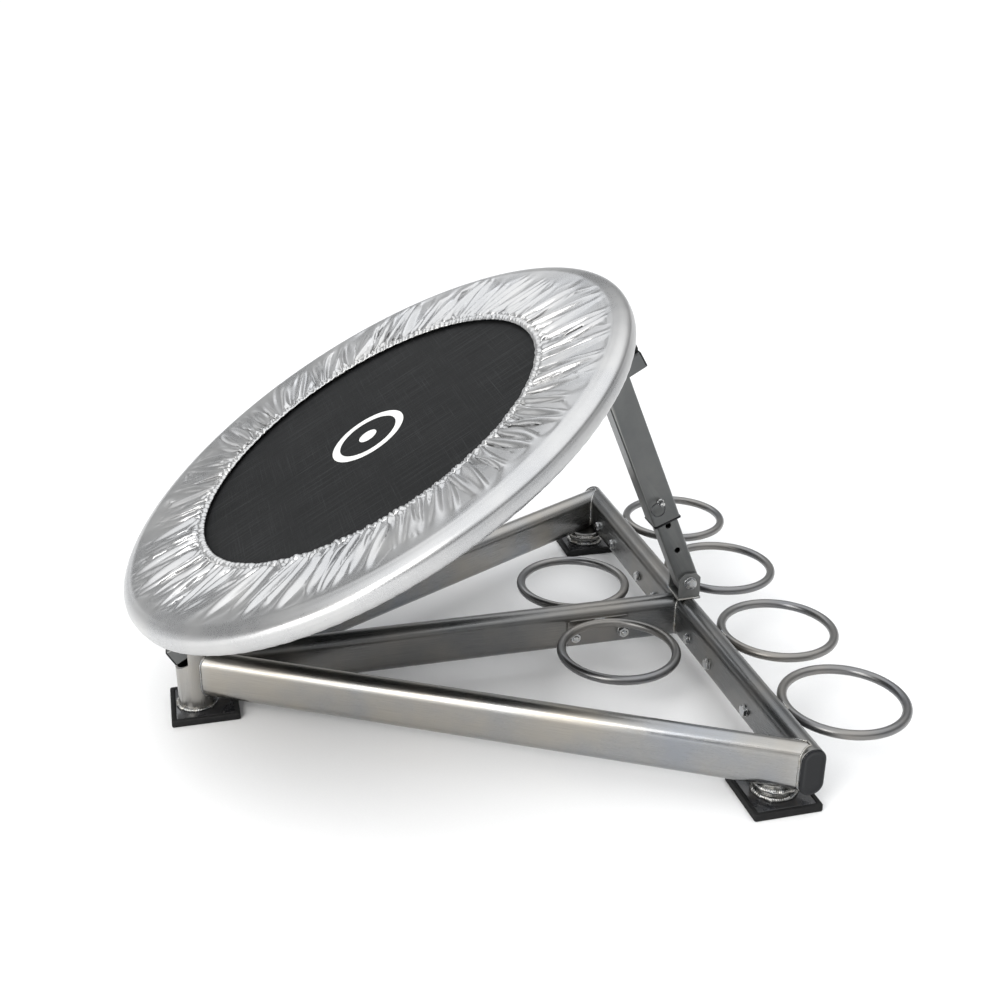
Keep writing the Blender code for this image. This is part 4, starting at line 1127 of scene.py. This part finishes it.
def add_spine():
    low, high = in_bed("spine")
    width, height = high.x - low.x, high.z - low.z
    middle = Vector((0, 0, (low.z + high.z) / 2))

    def section(inset, corner):
        return rounded_box(width - 2 * inset, height - 2 * inset, corner, 5)
    loops = []
    edge = SAWN_EDGE
    for y, inset in ((low.y, edge), (low.y + edge, 0.0), (0.0, 0.0), (high.y - edge, 0.0),
                     (high.y, edge)):
        loops.append(place(section(inset, 0.003), middle + Y_AXIS * y, X_AXIS, Z_AXIS))
    wall = 0.0025
    for y in (high.y, low.y):
        loops.append(place(section(wall, 0.001), middle + Y_AXIS * y, X_AXIS, Z_AXIS))
    shape = Shape()
    shape.loft(loops, closed=True)
    tube = build("spine_tube", shape, "strut_steel", "bed", ["spine"], matrix=BED)
    hinge = BED.inverted() @ HINGE
    pivot = BED.inverted() @ box_centre("strut_top_bolt")
    carve(tube, cross_cutter(M12["radius"] + GAP, hinge.y, hinge.z, BED),
          cross_cutter(M10["radius"] + GAP, pivot.y, pivot.z, BED), bevel=0.0004)
    for side, end, sign in (("front", low.y, -1), ("rear", high.y, 1)):
        loops = []
        for y, inset, corner in ((-0.014, 0.0036, 0.001), (0.0002, 0.0030, 0.001),
                                 (0.0002, 0.0003, 0.0028), (0.0010, 0.0, 0.003),
                                 (0.0018, 0.0004, 0.0028), (0.0026, 0.0014, 0.0026),
                                 (0.0029, 0.0030, 0.0024), (0.0024, 0.0046, 0.0022),
                                 (0.0023, 0.0090, 0.0020)):
            loops.append(place(section(inset, corner), middle + Y_AXIS * (end + sign * y),
                               X_AXIS, Z_AXIS))
        shape = Shape()
        shape.loft(loops)
        build(side + "_spine_plug", shape, "black_plastic", "bed", [side + "_spine_cap"],
              matrix=BED, angle=50)


def add_legs():
    for seed, side in enumerate(("front", "rear")):
        low, high = in_bed(side + "_leg")
        y = (low.y + high.y) / 2
        radius = (high.x - low.x) / 2
        origin = Matrix.Translation((0, y, 0))
        shape = stub(radius, low.z, high.z + 0.004, origin, 40)
        build(side + "_leg_tube", shape, "frame_steel", "bed", [side + "_leg"], matrix=BED)
        foot_low, foot_high = in_bed(side + "_leg_cup")
        outer = (foot_high.x - foot_low.x) / 2
        bottom, top = foot_low.z, foot_high.z
        shape = Shape()
        shape.turn([(outer - 0.0015, bottom), (outer - 0.0003, bottom + 0.0005),
                    (outer, bottom + 0.0015), (outer - 0.0004, top - 0.006),
                    (outer, top - 0.005), (outer, top - 0.0015), (outer - 0.0008, top - 0.0003),
                    (outer - 0.002, top), (radius + 0.0006, top), (radius + 0.0002, top - 0.001),
                    (radius + 0.0002, bottom + 0.0045), (0.0, bottom + 0.0045)],
                   origin, steps=48)
        build(side + "_rubber_cup", shape, "rubber", "bed", [side + "_leg_cup"], matrix=BED,
              angle=50)
        ring = [BED @ Vector((u, y + v, high.z - 0.001)) for u, v in circle(radius + 0.001, 48)]
        weld(side + "_leg_weld", ring, "bed", 0.005, seed=31 + seed)


def add_hoop():
    shape = Shape()
    shape.sweep([polar(HOOP_RADIUS, angle, -HOOP_DROP) for angle in turns(240)],
                HOOP_TUBE_RADIUS, sides=24, closed=True, up=Z_AXIS)
    build("hoop_tube", shape, "frame_steel", "bed", ["bed_hoop"], matrix=BED)
    seam = [BED @ (Vector((0, HOOP_RADIUS, -HOOP_DROP))
                   + Y_AXIS * u + Z_AXIS * v) for u, v in circle(HOOP_TUBE_RADIUS + 0.0001, 40)]
    weld("hoop_seam_weld", seam, "bed", 0.0035, seed=41, flat=0.6)


def add_hinge_fasteners():
    reach = POST_RADIUS + GAP
    fasten("bed_hinge", M12, Vector((0, HINGE.y, HINGE.z)), -X_AXIS, -reach, reach,
           -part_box("bed_hinge_bolt")[0].x, "root", "bed_hinge_bolt", "bed_hinge_nut")
    centre = box_centre("strut_top_bolt")
    reach = OUTER_SIDE / 2 + 0.0006
    fasten("strut_head", M10, Vector((0, centre.y, centre.z)), -X_AXIS, -reach, reach,
           -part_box("strut_top_bolt")[0].x, "bed", "strut_top_bolt", "strut_top_nut")


# ---- mat and springs -------------------------------------------------------------------

HEM_WIDTH = 0.028
HEM_SCALLOP = 0.0005              # sag of the hem between two springs
STITCH_LINES = (0.005, 0.0245)    # in from the mat's edge
STITCH_PITCH = 0.0055
STITCH_HALF = 0.0019
THREAD_RADIUS = 0.00035
TRIANGLE_REACH = 0.004            # spring loops, either side of the mat's edge
TRIANGLE_HALF = 0.010
TRIANGLE_WIRE = 0.0011
TARGET_RING = (0.052, 0.066)
TARGET_DOT = 0.016
COILS = 24
HOOK_TURN = 1.15 * math.pi


def add_mat():
    """Woven disc under tension, with a doubled and stitched hem and its spring loops."""
    low, high = in_bed("mat")
    radius = (high.x - low.x) / 2
    top, bottom = MAT_TOP, MAT_TOP - MAT_THICKNESS
    cloth_bottom = top - 0.0012
    radii = [radius * share for share in (0.12, 0.25, 0.4, 0.55, 0.7, 0.8, 0.88, 0.94, 0.975)]
    shape = Shape()

    def level(r, angle, z):
        pull = max(0.0, (r / radius - 0.86) / 0.14)
        return z - HEM_SCALLOP * pull * math.cos(SPRING_COUNT * angle)
    loops = []
    outline = [(r, top) for r in radii] + [(radius - 0.0008, top - 0.0001), (radius, top - 0.0012),
                                           (radius, bottom + 0.0006), (radius - 0.0008, bottom)]
    outline += [(radius - HEM_WIDTH, bottom), (radius - HEM_WIDTH - 0.001, cloth_bottom)]
    outline += [(r, cloth_bottom) for r in radii[-2::-1] if r < radius - HEM_WIDTH - 0.002]
    for r, z in outline:
        loops.append([polar(r, angle, level(r, angle, z)) for angle in turns(180)])
    shape.loft(loops)
    for face in shape.bm.faces:
        for loop in face.loops:
            loop[shape.uv].uv = (loop.vert.co.x, loop.vert.co.y)
    mat = build("mat_cloth", shape, "mat_weave", "mat", ["mat"], matrix=BED, angle=50)

    stitches = Shape()
    for line in STITCH_LINES:
        line_radius = radius - line
        for middle in turns(int(math.tau * line_radius / STITCH_PITCH)):
            path = []
            for share, lift in ((-1, -0.0002), (-0.6, 0.0003), (0.6, 0.0003), (1, -0.0002)):
                angle = middle + STITCH_HALF / line_radius * share
                path.append(polar(line_radius, angle, level(line_radius, angle, top) + lift))
            stitches.sweep(path, THREAD_RADIUS, sides=5, up=Z_AXIS)
    build("mat_stitches", stitches, "hem_tape", "mat", matrix=BED)

    loops_of_wire = Shape()
    for i in range(SPRING_COUNT):
        angle = math.tau * (i + 0.5) / SPRING_COUNT
        turn = Matrix.Rotation(angle, 4, "Z")
        corners = [Vector((radius - TRIANGLE_REACH, TRIANGLE_HALF, bottom - 0.0012)),
                   Vector((radius - TRIANGLE_REACH, -TRIANGLE_HALF, bottom - 0.0012)),
                   Vector((radius + TRIANGLE_REACH, 0, -SPRING_DROP))]
        path = []
        for k, corner in enumerate(corners):
            before, after = corners[k - 1], corners[(k + 1) % 3]
            path += [corner.lerp(before, 0.16), corner.lerp(before, 0.05).lerp(
                corner.lerp(after, 0.05), 0.5), corner.lerp(after, 0.16)]
        loops_of_wire.sweep([turn @ p for p in path], TRIANGLE_WIRE, sides=8, closed=True, up=Z_AXIS)
    build("mat_triangle_rings", loops_of_wire, "zinc", "mat", matrix=BED)
    return mat, radius


def add_target():
    """Plain aiming mark in the middle of the mat: a ring with a dot."""
    top = MAT_TOP + 0.00012
    base = top - 0.0002
    inner, outer = TARGET_RING
    shape = Shape()
    shape.turn([(outer - 0.0001, base), (outer, top), (inner, top), (inner + 0.0001, base)],
               steps=120, closed=True)
    shape.turn([(0.0, base), (TARGET_DOT, base), (TARGET_DOT, top), (0.0, top)], steps=80)
    build("mat_print", shape, "print_ink", "mat", matrix=BED)


def spring_path(inner, outer, per_coil=12, hook_steps=8):
    """Hook at the mat, close-wound coils, hook at the hoop; along X, its line at z = 0."""
    coil_start, coil_end = inner + 0.009, outer - 0.010
    coil_radius = SPRING_COIL_RADIUS - SPRING_WIRE
    hook = 0.0035
    eye = 0.004
    bends = [HOOK_TURN * k / hook_steps for k in range(hook_steps + 1)]
    path = [Vector((inner + hook * math.cos(bend), 0.0, 0.003 * math.sin(bend)))
            for bend in reversed(bends)]
    steps = COILS * per_coil
    for k in range(steps + 1):
        phase = math.tau * k / per_coil
        x = coil_start + (coil_end - coil_start) * k / steps
        grow = coil_radius * min(1.0, k / hook_steps, (steps - k) / hook_steps)
        path.append(Vector((x, grow * math.sin(phase), grow * math.cos(phase))))
    path += [Vector((outer - eye * (1 - math.sin(bend)), 0.0, eye * (1 - math.cos(bend))))
             for bend in bends]
    return path


def add_springs(mat_radius):
    """Coil springs with a hook at each end, between the mat and the hoop."""
    inner = mat_radius + 0.0035
    outer = HOOP_RADIUS - HOOP_TUBE_RADIUS + 0.002
    stand_in = {}
    for k in range(1, 7):
        spot = BED.inverted() @ box_centre(f"bed_spring_{k}")
        stand_in[round(math.degrees(math.atan2(spot.y, spot.x)) % 360)] = f"bed_spring_{k}"
    path = [p - Z_AXIS * SPRING_DROP for p in spring_path(inner, outer)]
    for i in range(SPRING_COUNT):
        angle = math.tau * (i + 0.5) / SPRING_COUNT
        turn = BED @ Matrix.Rotation(angle, 4, "Z")
        shape = Shape()
        shape.sweep(path, SPRING_WIRE, sides=6)
        node = stand_in.get(round(math.degrees(angle)) % 360)
        spring = build(f"spring_{i + 1:02d}", shape, "spring_wire", "bed", [node] if node else (),
                       matrix=turn, angle=80, ride=False)
        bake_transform(spring)


# ---- cover -----------------------------------------------------------------------------

ELASTIC_RADIUS = 0.3075
COVER_OUTLINE = ((0.3075, 0.0030), (0.325, 0.0042), (0.345, 0.0053), (0.385, 0.0078),
                 (0.410, 0.0092), (0.428, 0.0095), (0.442, 0.0085), (0.453, 0.0058),
                 (0.4605, 0.0012), (0.4640, -0.0040), (0.4650, -0.0085), (0.4649, -0.0150),
                 (0.4640, -0.0215), (0.4612, -0.0272), (0.4565, -0.0304), (0.4495, -0.0315))
CREASE_HEIGHT = -0.0085
CASING_WIDTH = 0.011              # stitched tunnel that holds the elastic
DRAWN_RADIUS = 0.3135             # where the simulated part of the cloth begins
TAUT_RADIUS = 0.438               # outside this the cloth is stretched over the hoop
CLOTH_STEP = 0.003
CLOTH_COLUMNS = 640
GATHER = 0.27                     # spare cloth at the elastic, as a share of its length
GATHER_FOLDS = 108
PUCKERS = 236
LOWEST_FOLD = -0.0022
HIGHEST_FOLD = 0.0085
BEAD_HEIGHT = 0.0036              # puckers of the casing
BEAD_RUNOUT = 0.0012              # and of the cloth just outside it
GROOVE_DEPTH = 0.0009             # along the casing's stitches
GROOVE_WIDTH = 0.0013
FRILL = 0.0011
SEAM_DEPTH = 0.0007               # between the cover's top and its skirt
HEM_WAVES = 118
HEM_RIPPLE = 0.00025
SKIRT_DEPTH = 0.022
CLOTH_THICKNESS = 0.0009


def smooth_line(points, step):
    """Catmull-Rom line through the points, resampled evenly."""
    pts = [Vector((*p, 0)) for p in points]
    dense = []
    padded = [pts[0] * 2 - pts[1]] + pts + [pts[-1] * 2 - pts[-2]]
    for a, b, c, d in zip(padded, padded[1:], padded[2:], padded[3:]):
        for k in range(16):
            t = k / 16
            dense.append(0.5 * ((2 * b) + (c - a) * t + (2 * a - 5 * b + 4 * c - d) * t * t
                                + (3 * b - a - 3 * c + d) * t ** 3))
    dense.append(pts[-1])
    return np.array([(p.x, p.y) for p in resample(dense, step, False)])


def outward(outline):
    """Unit normal of each row of a cover outline."""
    tangent = np.gradient(outline, axis=0)
    tangent /= np.linalg.norm(tangent, axis=1)[:, None]
    return np.stack([-tangent[:, 1], tangent[:, 0]], axis=1)


def wander(theta, seed, low, high, waves=12):
    """Smooth random line around the circle, about one in size."""
    rng = random.Random(seed)
    total = np.zeros_like(theta)
    for _ in range(waves):
        total += np.cos(rng.randint(low, high) * theta + rng.uniform(0, math.tau))
    return total / math.sqrt(waves)


def uneven_waves(theta, seed, count, spread):
    """Phase that grows by one turn per wave, and the size of the wave at each angle."""
    rng = random.Random(seed)
    steps = np.array([rng.uniform(1 - spread, 1 + spread) for _ in range(count)])
    ends = np.concatenate([[0], np.cumsum(steps)])
    ends *= math.tau / ends[-1]
    sizes = steps * np.array([rng.uniform(0.75, 1.2) for _ in range(count)])
    phase = np.interp(theta, ends, np.arange(count + 1) * math.tau)
    return phase, np.interp(theta, ends, np.append(sizes, sizes[0]))


def grid_mesh(name, points):
    """Closed band of quads; points are arranged by column, then by row."""
    columns, rows = points.shape[:2]
    i, k = np.meshgrid(np.arange(columns), np.arange(rows - 1), indexing="ij")
    j = (i + 1) % columns
    faces = np.stack([i * rows + k, j * rows + k, j * rows + k + 1, i * rows + k + 1], axis=-1)
    mesh = bpy.data.meshes.new(name)
    mesh.from_pydata(points.reshape(-1, 3).tolist(), [], faces.reshape(-1, 4).tolist())
    return mesh


def around_axis(radius, theta, height):
    return np.stack([radius * np.cos(theta), radius * np.sin(theta), height], axis=-1)


def draw_in(cut, drawn, pinned, frames=22, pulling=13):
    """Cloth simulation: pinned rows travel from the cut shape to the drawn one."""
    mesh = grid_mesh("cloth_run", cut)
    piece = bpy.data.objects.new("cloth_run", mesh)
    scene = bpy.context.scene
    scene.collection.objects.link(piece)
    piece.shape_key_add(name="cut")
    key = piece.shape_key_add(name="drawn")
    key.data.foreach_set("co", drawn.astype(np.float32).ravel())
    for frame_number, value in ((1, 0.0), (pulling, 1.0)):
        key.value = value
        key.keyframe_insert("value", frame=frame_number)
    group = piece.vertex_groups.new(name="pins")
    group.add([int(i) for i in np.flatnonzero(pinned.ravel())], 1.0, "REPLACE")
    cloth = piece.modifiers.new("cloth", "CLOTH")
    settings = cloth.settings
    settings.quality = 6
    settings.mass = 0.1
    settings.tension_stiffness = 30
    settings.compression_stiffness = 30
    settings.shear_stiffness = 9
    settings.bending_stiffness = 0.8
    settings.air_damping = 1.5
    settings.vertex_group_mass = "pins"
    settings.pin_stiffness = 50
    settings.effector_weights.gravity = 0.0
    cloth.collision_settings.use_collision = False
    cloth.collision_settings.use_self_collision = False
    cloth.point_cache.frame_start = 1
    cloth.point_cache.frame_end = frames
    for frame_number in range(1, frames + 1):
        scene.frame_set(frame_number)
    settled = piece.evaluated_get(bpy.context.evaluated_depsgraph_get())
    points = np.zeros(cut.size)
    settled.to_mesh().vertices.foreach_get("co", points)
    settled.to_mesh_clear()
    bpy.data.objects.remove(piece, do_unlink=True)
    scene.frame_set(1)
    return points.reshape(cut.shape)


def gathered_rows():
    """Rows of the simulated part and how far each of its points leaves the smooth cover."""
    outline = smooth_line(COVER_OUTLINE, CLOTH_STEP)
    outline = outline[(outline[:, 0] >= DRAWN_RADIUS) & (outline[:, 1] > COVER_OUTLINE[0][1])]
    outline = outline[:int(np.argmax(outline[:, 0] > TAUT_RADIUS)) + 3]
    normal = outward(outline)
    theta = np.linspace(0, math.tau, CLOTH_COLUMNS, endpoint=False)
    turn, row = np.meshgrid(theta, np.arange(len(outline)), indexing="ij")
    radius = outline[row, 0]
    inner = outline[0, 0]
    reach = np.clip(TAUT_RADIUS - 0.024 + 0.016 * wander(theta, 21, 5, 60), 0.37, TAUT_RADIUS)
    slack = np.clip((reach[:, None] - radius) / (reach[:, None] - inner), 0, 1)
    share = GATHER * np.clip(1 + 0.35 * wander(theta, 22, 3, 40), 0.3, 1.8)
    wide = radius * (1 + share[:, None] * slack ** 1.3)
    phase, size = uneven_waves(theta, 3, GATHER_FOLDS, 0.45)
    edge_wave = 0.0030 * size * np.sin(phase)
    cut_height = outline[row, 1].copy()
    for k in range(int(np.argmax(outline[:, 0] > TAUT_RADIUS)) - 1, -1, -1):
        rise = CLOTH_STEP ** 2 - (wide[:, k + 1] - wide[:, k]) ** 2
        cut_height[:, k] = cut_height[:, k + 1] + np.sqrt(np.maximum(rise, (CLOTH_STEP / 5) ** 2))
    wide += 0.0005 * wander(theta, 24, 20, 140, 40)[:, None] * slack
    lean = (0.035 + 0.030 * wander(theta, 23, 2, 6))[:, None] * np.clip(
        (TAUT_RADIUS - radius) / (TAUT_RADIUS - inner), 0, 1)
    lift = np.where(row == 0, edge_wave[:, None], 0)
    drawn = around_axis(radius + normal[row, 0] * lift, turn + lean,
                        outline[row, 1] + normal[row, 1] * lift)
    pinned = (row == 0) | (radius > TAUT_RADIUS)
    settled = draw_in(around_axis(wide, turn, cut_height), drawn, pinned)
    out = np.hypot(settled[..., 0], settled[..., 1]) - radius
    up = settled[..., 2] - outline[row, 1]
    height = out * normal[row, 0] + up * normal[row, 1]
    swing = np.arctan2(settled[..., 1], settled[..., 0]) - turn
    return outline, height, (swing + math.pi) % math.tau - math.pi


def finer_columns(values):
    """Twice as many columns, with a smooth curve through the given ones."""
    before, after, beyond = (np.roll(values, shift, axis=0) for shift in (1, -1, -2))
    between = (9 * (values + after) - before - beyond) / 16
    return np.stack([values, between], axis=1).reshape(-1, values.shape[1])


def soft_limit(height):
    """Keeps folds off the springs and inside the cover's depth, without flat spots."""
    up = np.maximum(height, 0)
    down = np.minimum(height, 0)
    return HIGHEST_FOLD * np.tanh(up / HIGHEST_FOLD) - LOWEST_FOLD * np.tanh(down / -LOWEST_FOLD)


def add_cover():
    cloth_outline, cloth_height, cloth_swing = gathered_rows()
    fine = smooth_line(COVER_OUTLINE, 0.0012)
    coarse = smooth_line(COVER_OUTLINE, 0.0024)
    casing_end = ELASTIC_RADIUS + CASING_WIDTH * 1.4
    outline = np.concatenate([fine[fine[:, 0] < casing_end],
                              coarse[int(np.argmax(coarse[:, 0] > casing_end + 0.0012)):]])
    normal = outward(outline)
    theta = np.linspace(0, math.tau, 2 * CLOTH_COLUMNS, endpoint=False)
    turn, row = np.meshgrid(theta, np.arange(len(outline)), indexing="ij")
    radius = outline[row, 0]
    upper = np.arange(len(outline)) < np.argmax(outline[:, 0] > cloth_outline[-1, 0])

    def spread_rows(values):
        values = finer_columns(values)
        at = np.interp(outline[:, 0], cloth_outline[:, 0], np.arange(len(cloth_outline)))
        low = np.minimum(at.astype(int), len(cloth_outline) - 2)
        part = at - low
        return (values[:, low] * (1 - part) + values[:, low + 1] * part) * upper

    depth = radius - ELASTIC_RADIUS
    from_casing = 0.12 + 0.88 * np.clip(depth / (1.5 * CASING_WIDTH), 0, 1) ** 1.5
    height = soft_limit(spread_rows(cloth_height) + 0.0004 * upper) * from_casing
    swing = spread_rows(cloth_swing)
    phase, size = uneven_waves(theta, 7, PUCKERS, 0.5)
    bead = np.abs(np.sin(phase / 2))[:, None] ** 0.7 * size[:, None]
    in_casing = np.sin(math.pi * np.clip(depth / CASING_WIDTH, 0, 1)) ** 0.6
    beside = np.exp(-((depth - CASING_WIDTH) / 0.006) ** 2)
    groove = np.exp(-((depth - CASING_WIDTH) / GROOVE_WIDTH) ** 2)
    height += (BEAD_HEIGHT * bead * in_casing + BEAD_RUNOUT * bead * beside * (depth > CASING_WIDTH)
               - GROOVE_DEPTH * groove) * upper
    frill = -FRILL * bead * np.exp(-depth / 0.003) * upper
    over_hoop = radius > TAUT_RADIUS
    height -= SEAM_DEPTH * over_hoop * np.exp(-((outline[row, 1] - CREASE_HEIGHT)
                                                / GROOVE_WIDTH) ** 2)
    hem_phase, hem_size = uneven_waves(theta, 9, HEM_WAVES, 0.5)
    below = np.clip((CREASE_HEIGHT - outline[row, 1]) / SKIRT_DEPTH, 0, 1) * over_hoop
    height += HEM_RIPPLE * (hem_size * np.sin(hem_phase))[:, None] * below ** 2.2
    points = around_axis(radius + normal[row, 0] * height + frill, turn + swing,
                         outline[row, 1] + normal[row, 1] * height)
    mesh = grid_mesh("cover_cloth", points)
    mesh.transform(BED)
    mesh.shade_smooth()
    mesh.materials.append(MATERIALS["silver_vinyl"])
    cover = add_piece("cover_cloth", mesh, "bed", ["cover_pad"])
    thick = cover.modifiers.new("thickness", "SOLIDIFY")
    thick.thickness = CLOTH_THICKNESS
    thick.offset = -1.0
    return cover


# ---- stage -----------------------------------------------------------------------------

# Height on the dome and brightness there.
DOME_STOPS = ((0.0, 0.80), (0.11, 0.78), (0.19, 0.36), (0.33, 0.22), (0.52, 0.42), (0.74, 1.5))
DOME_STRENGTH = 1.2
VIEW_AZIMUTH = math.radians(75.09)
VIEW_ELEVATION = math.radians(23.37)
VIEW_ROLL = math.radians(0.56)
VIEW_TARGET = Vector((0.2812, -0.0529, 0.4552))
VIEW_DISTANCE = 1.8594
FOCAL_WIDTHS = 1.2865             # focal length in sensor widths


def add_camera():
    data = bpy.data.cameras.new("camera")
    data.sensor_width = 36.0
    data.lens = FOCAL_WIDTHS * data.sensor_width
    camera = bpy.data.objects.new("camera", data)
    back = Vector((math.sin(VIEW_AZIMUTH) * math.cos(VIEW_ELEVATION),
                   -math.cos(VIEW_AZIMUTH) * math.cos(VIEW_ELEVATION), math.sin(VIEW_ELEVATION)))
    right = Vector((math.cos(VIEW_AZIMUTH), math.sin(VIEW_AZIMUTH), 0))
    up = back.cross(right)
    side = right * math.cos(VIEW_ROLL) + up * math.sin(VIEW_ROLL)
    above = up * math.cos(VIEW_ROLL) - right * math.sin(VIEW_ROLL)
    matrix = Matrix((side, above, back)).transposed().to_4x4()
    matrix.translation = VIEW_TARGET + back * VIEW_DISTANCE
    camera.matrix_world = matrix
    bpy.context.scene.collection.objects.link(camera)
    bpy.context.scene.camera = camera


def add_light(name, place_at, aim, size, power, colour=(1, 1, 1)):
    data = bpy.data.lights.new(name, "AREA")
    data.shape = "RECTANGLE"
    data.size, data.size_y = size
    data.energy = power
    data.color = colour
    light = bpy.data.objects.new(name, data)
    light.location = place_at
    light.rotation_euler = (Vector(aim) - Vector(place_at)).to_track_quat("-Z", "Y").to_euler()
    bpy.context.scene.collection.objects.link(light)


def add_stage():
    bpy.ops.mesh.primitive_plane_add(size=300, location=(0, 0, 0))
    floor = bpy.context.object
    floor.name = "floor"
    paint = Paint("floor_paper", (0.90, 0.90, 0.90), 0.0, 0.7)
    fibre = paint.noise(300.0, detail=3.0)
    paint.feed("Base Color", paint.ramp(fibre, (0.3, (0.89, 0.89, 0.89)), (0.7, (0.91, 0.91, 0.91))))
    floor.data.materials.append(paint.material)
    add_world()
    add_light("key", (2.6, -2.6, 2.6), (0, -0.1, 0.3), (1.6, 1.6), 70, (1.0, 0.985, 0.96))
    add_light("low", (2.0, -2.7, 0.75), (0.2, -0.2, 0.1), (2.2, 1.0), 38, (1.0, 0.99, 0.97))
    add_light("back", (-2.6, -0.6, 2.2), (0, 0, 0.4), (1.2, 1.2), 5, (0.95, 0.97, 1.0))
    bpy.context.scene.view_settings.view_transform = "Standard"


def add_world():
    """Studio dome: bright near the floor, dim walls and a bright ceiling."""
    world = bpy.data.worlds.new("studio")
    world.use_nodes = True
    tree = world.node_tree
    up = tree.nodes.new("ShaderNodeSeparateXYZ")
    tree.links.new(tree.nodes.new("ShaderNodeTexCoord").outputs["Generated"], up.inputs[0])
    ramp = tree.nodes.new("ShaderNodeValToRGB")
    elements = ramp.color_ramp.elements
    while len(elements) < len(DOME_STOPS):
        elements.new(0.5)
    for element, (position, level) in zip(elements, DOME_STOPS):
        element.position = position
        element.color = (level * 0.98, level * 0.99, level, 1)
    tree.links.new(up.outputs["Z"], ramp.inputs["Fac"])
    background = tree.nodes["Background"]
    tree.links.new(ramp.outputs["Color"], background.inputs["Color"])
    background.inputs["Strength"].default_value = DOME_STRENGTH
    bpy.context.scene.world = world


add_camera()
add_stage()
add_rails()
add_crossbar()
add_caps()
add_feet()
add_front_post()
add_foot_posts()
add_ring_fasteners()
add_ball_rings()
add_clevis()
add_strut()
add_lock_pin()
add_spine()
add_legs()
add_hoop()
add_hinge_fasteners()
mat, mat_radius = add_mat()
add_target()
add_springs(mat_radius)
cover = add_cover()
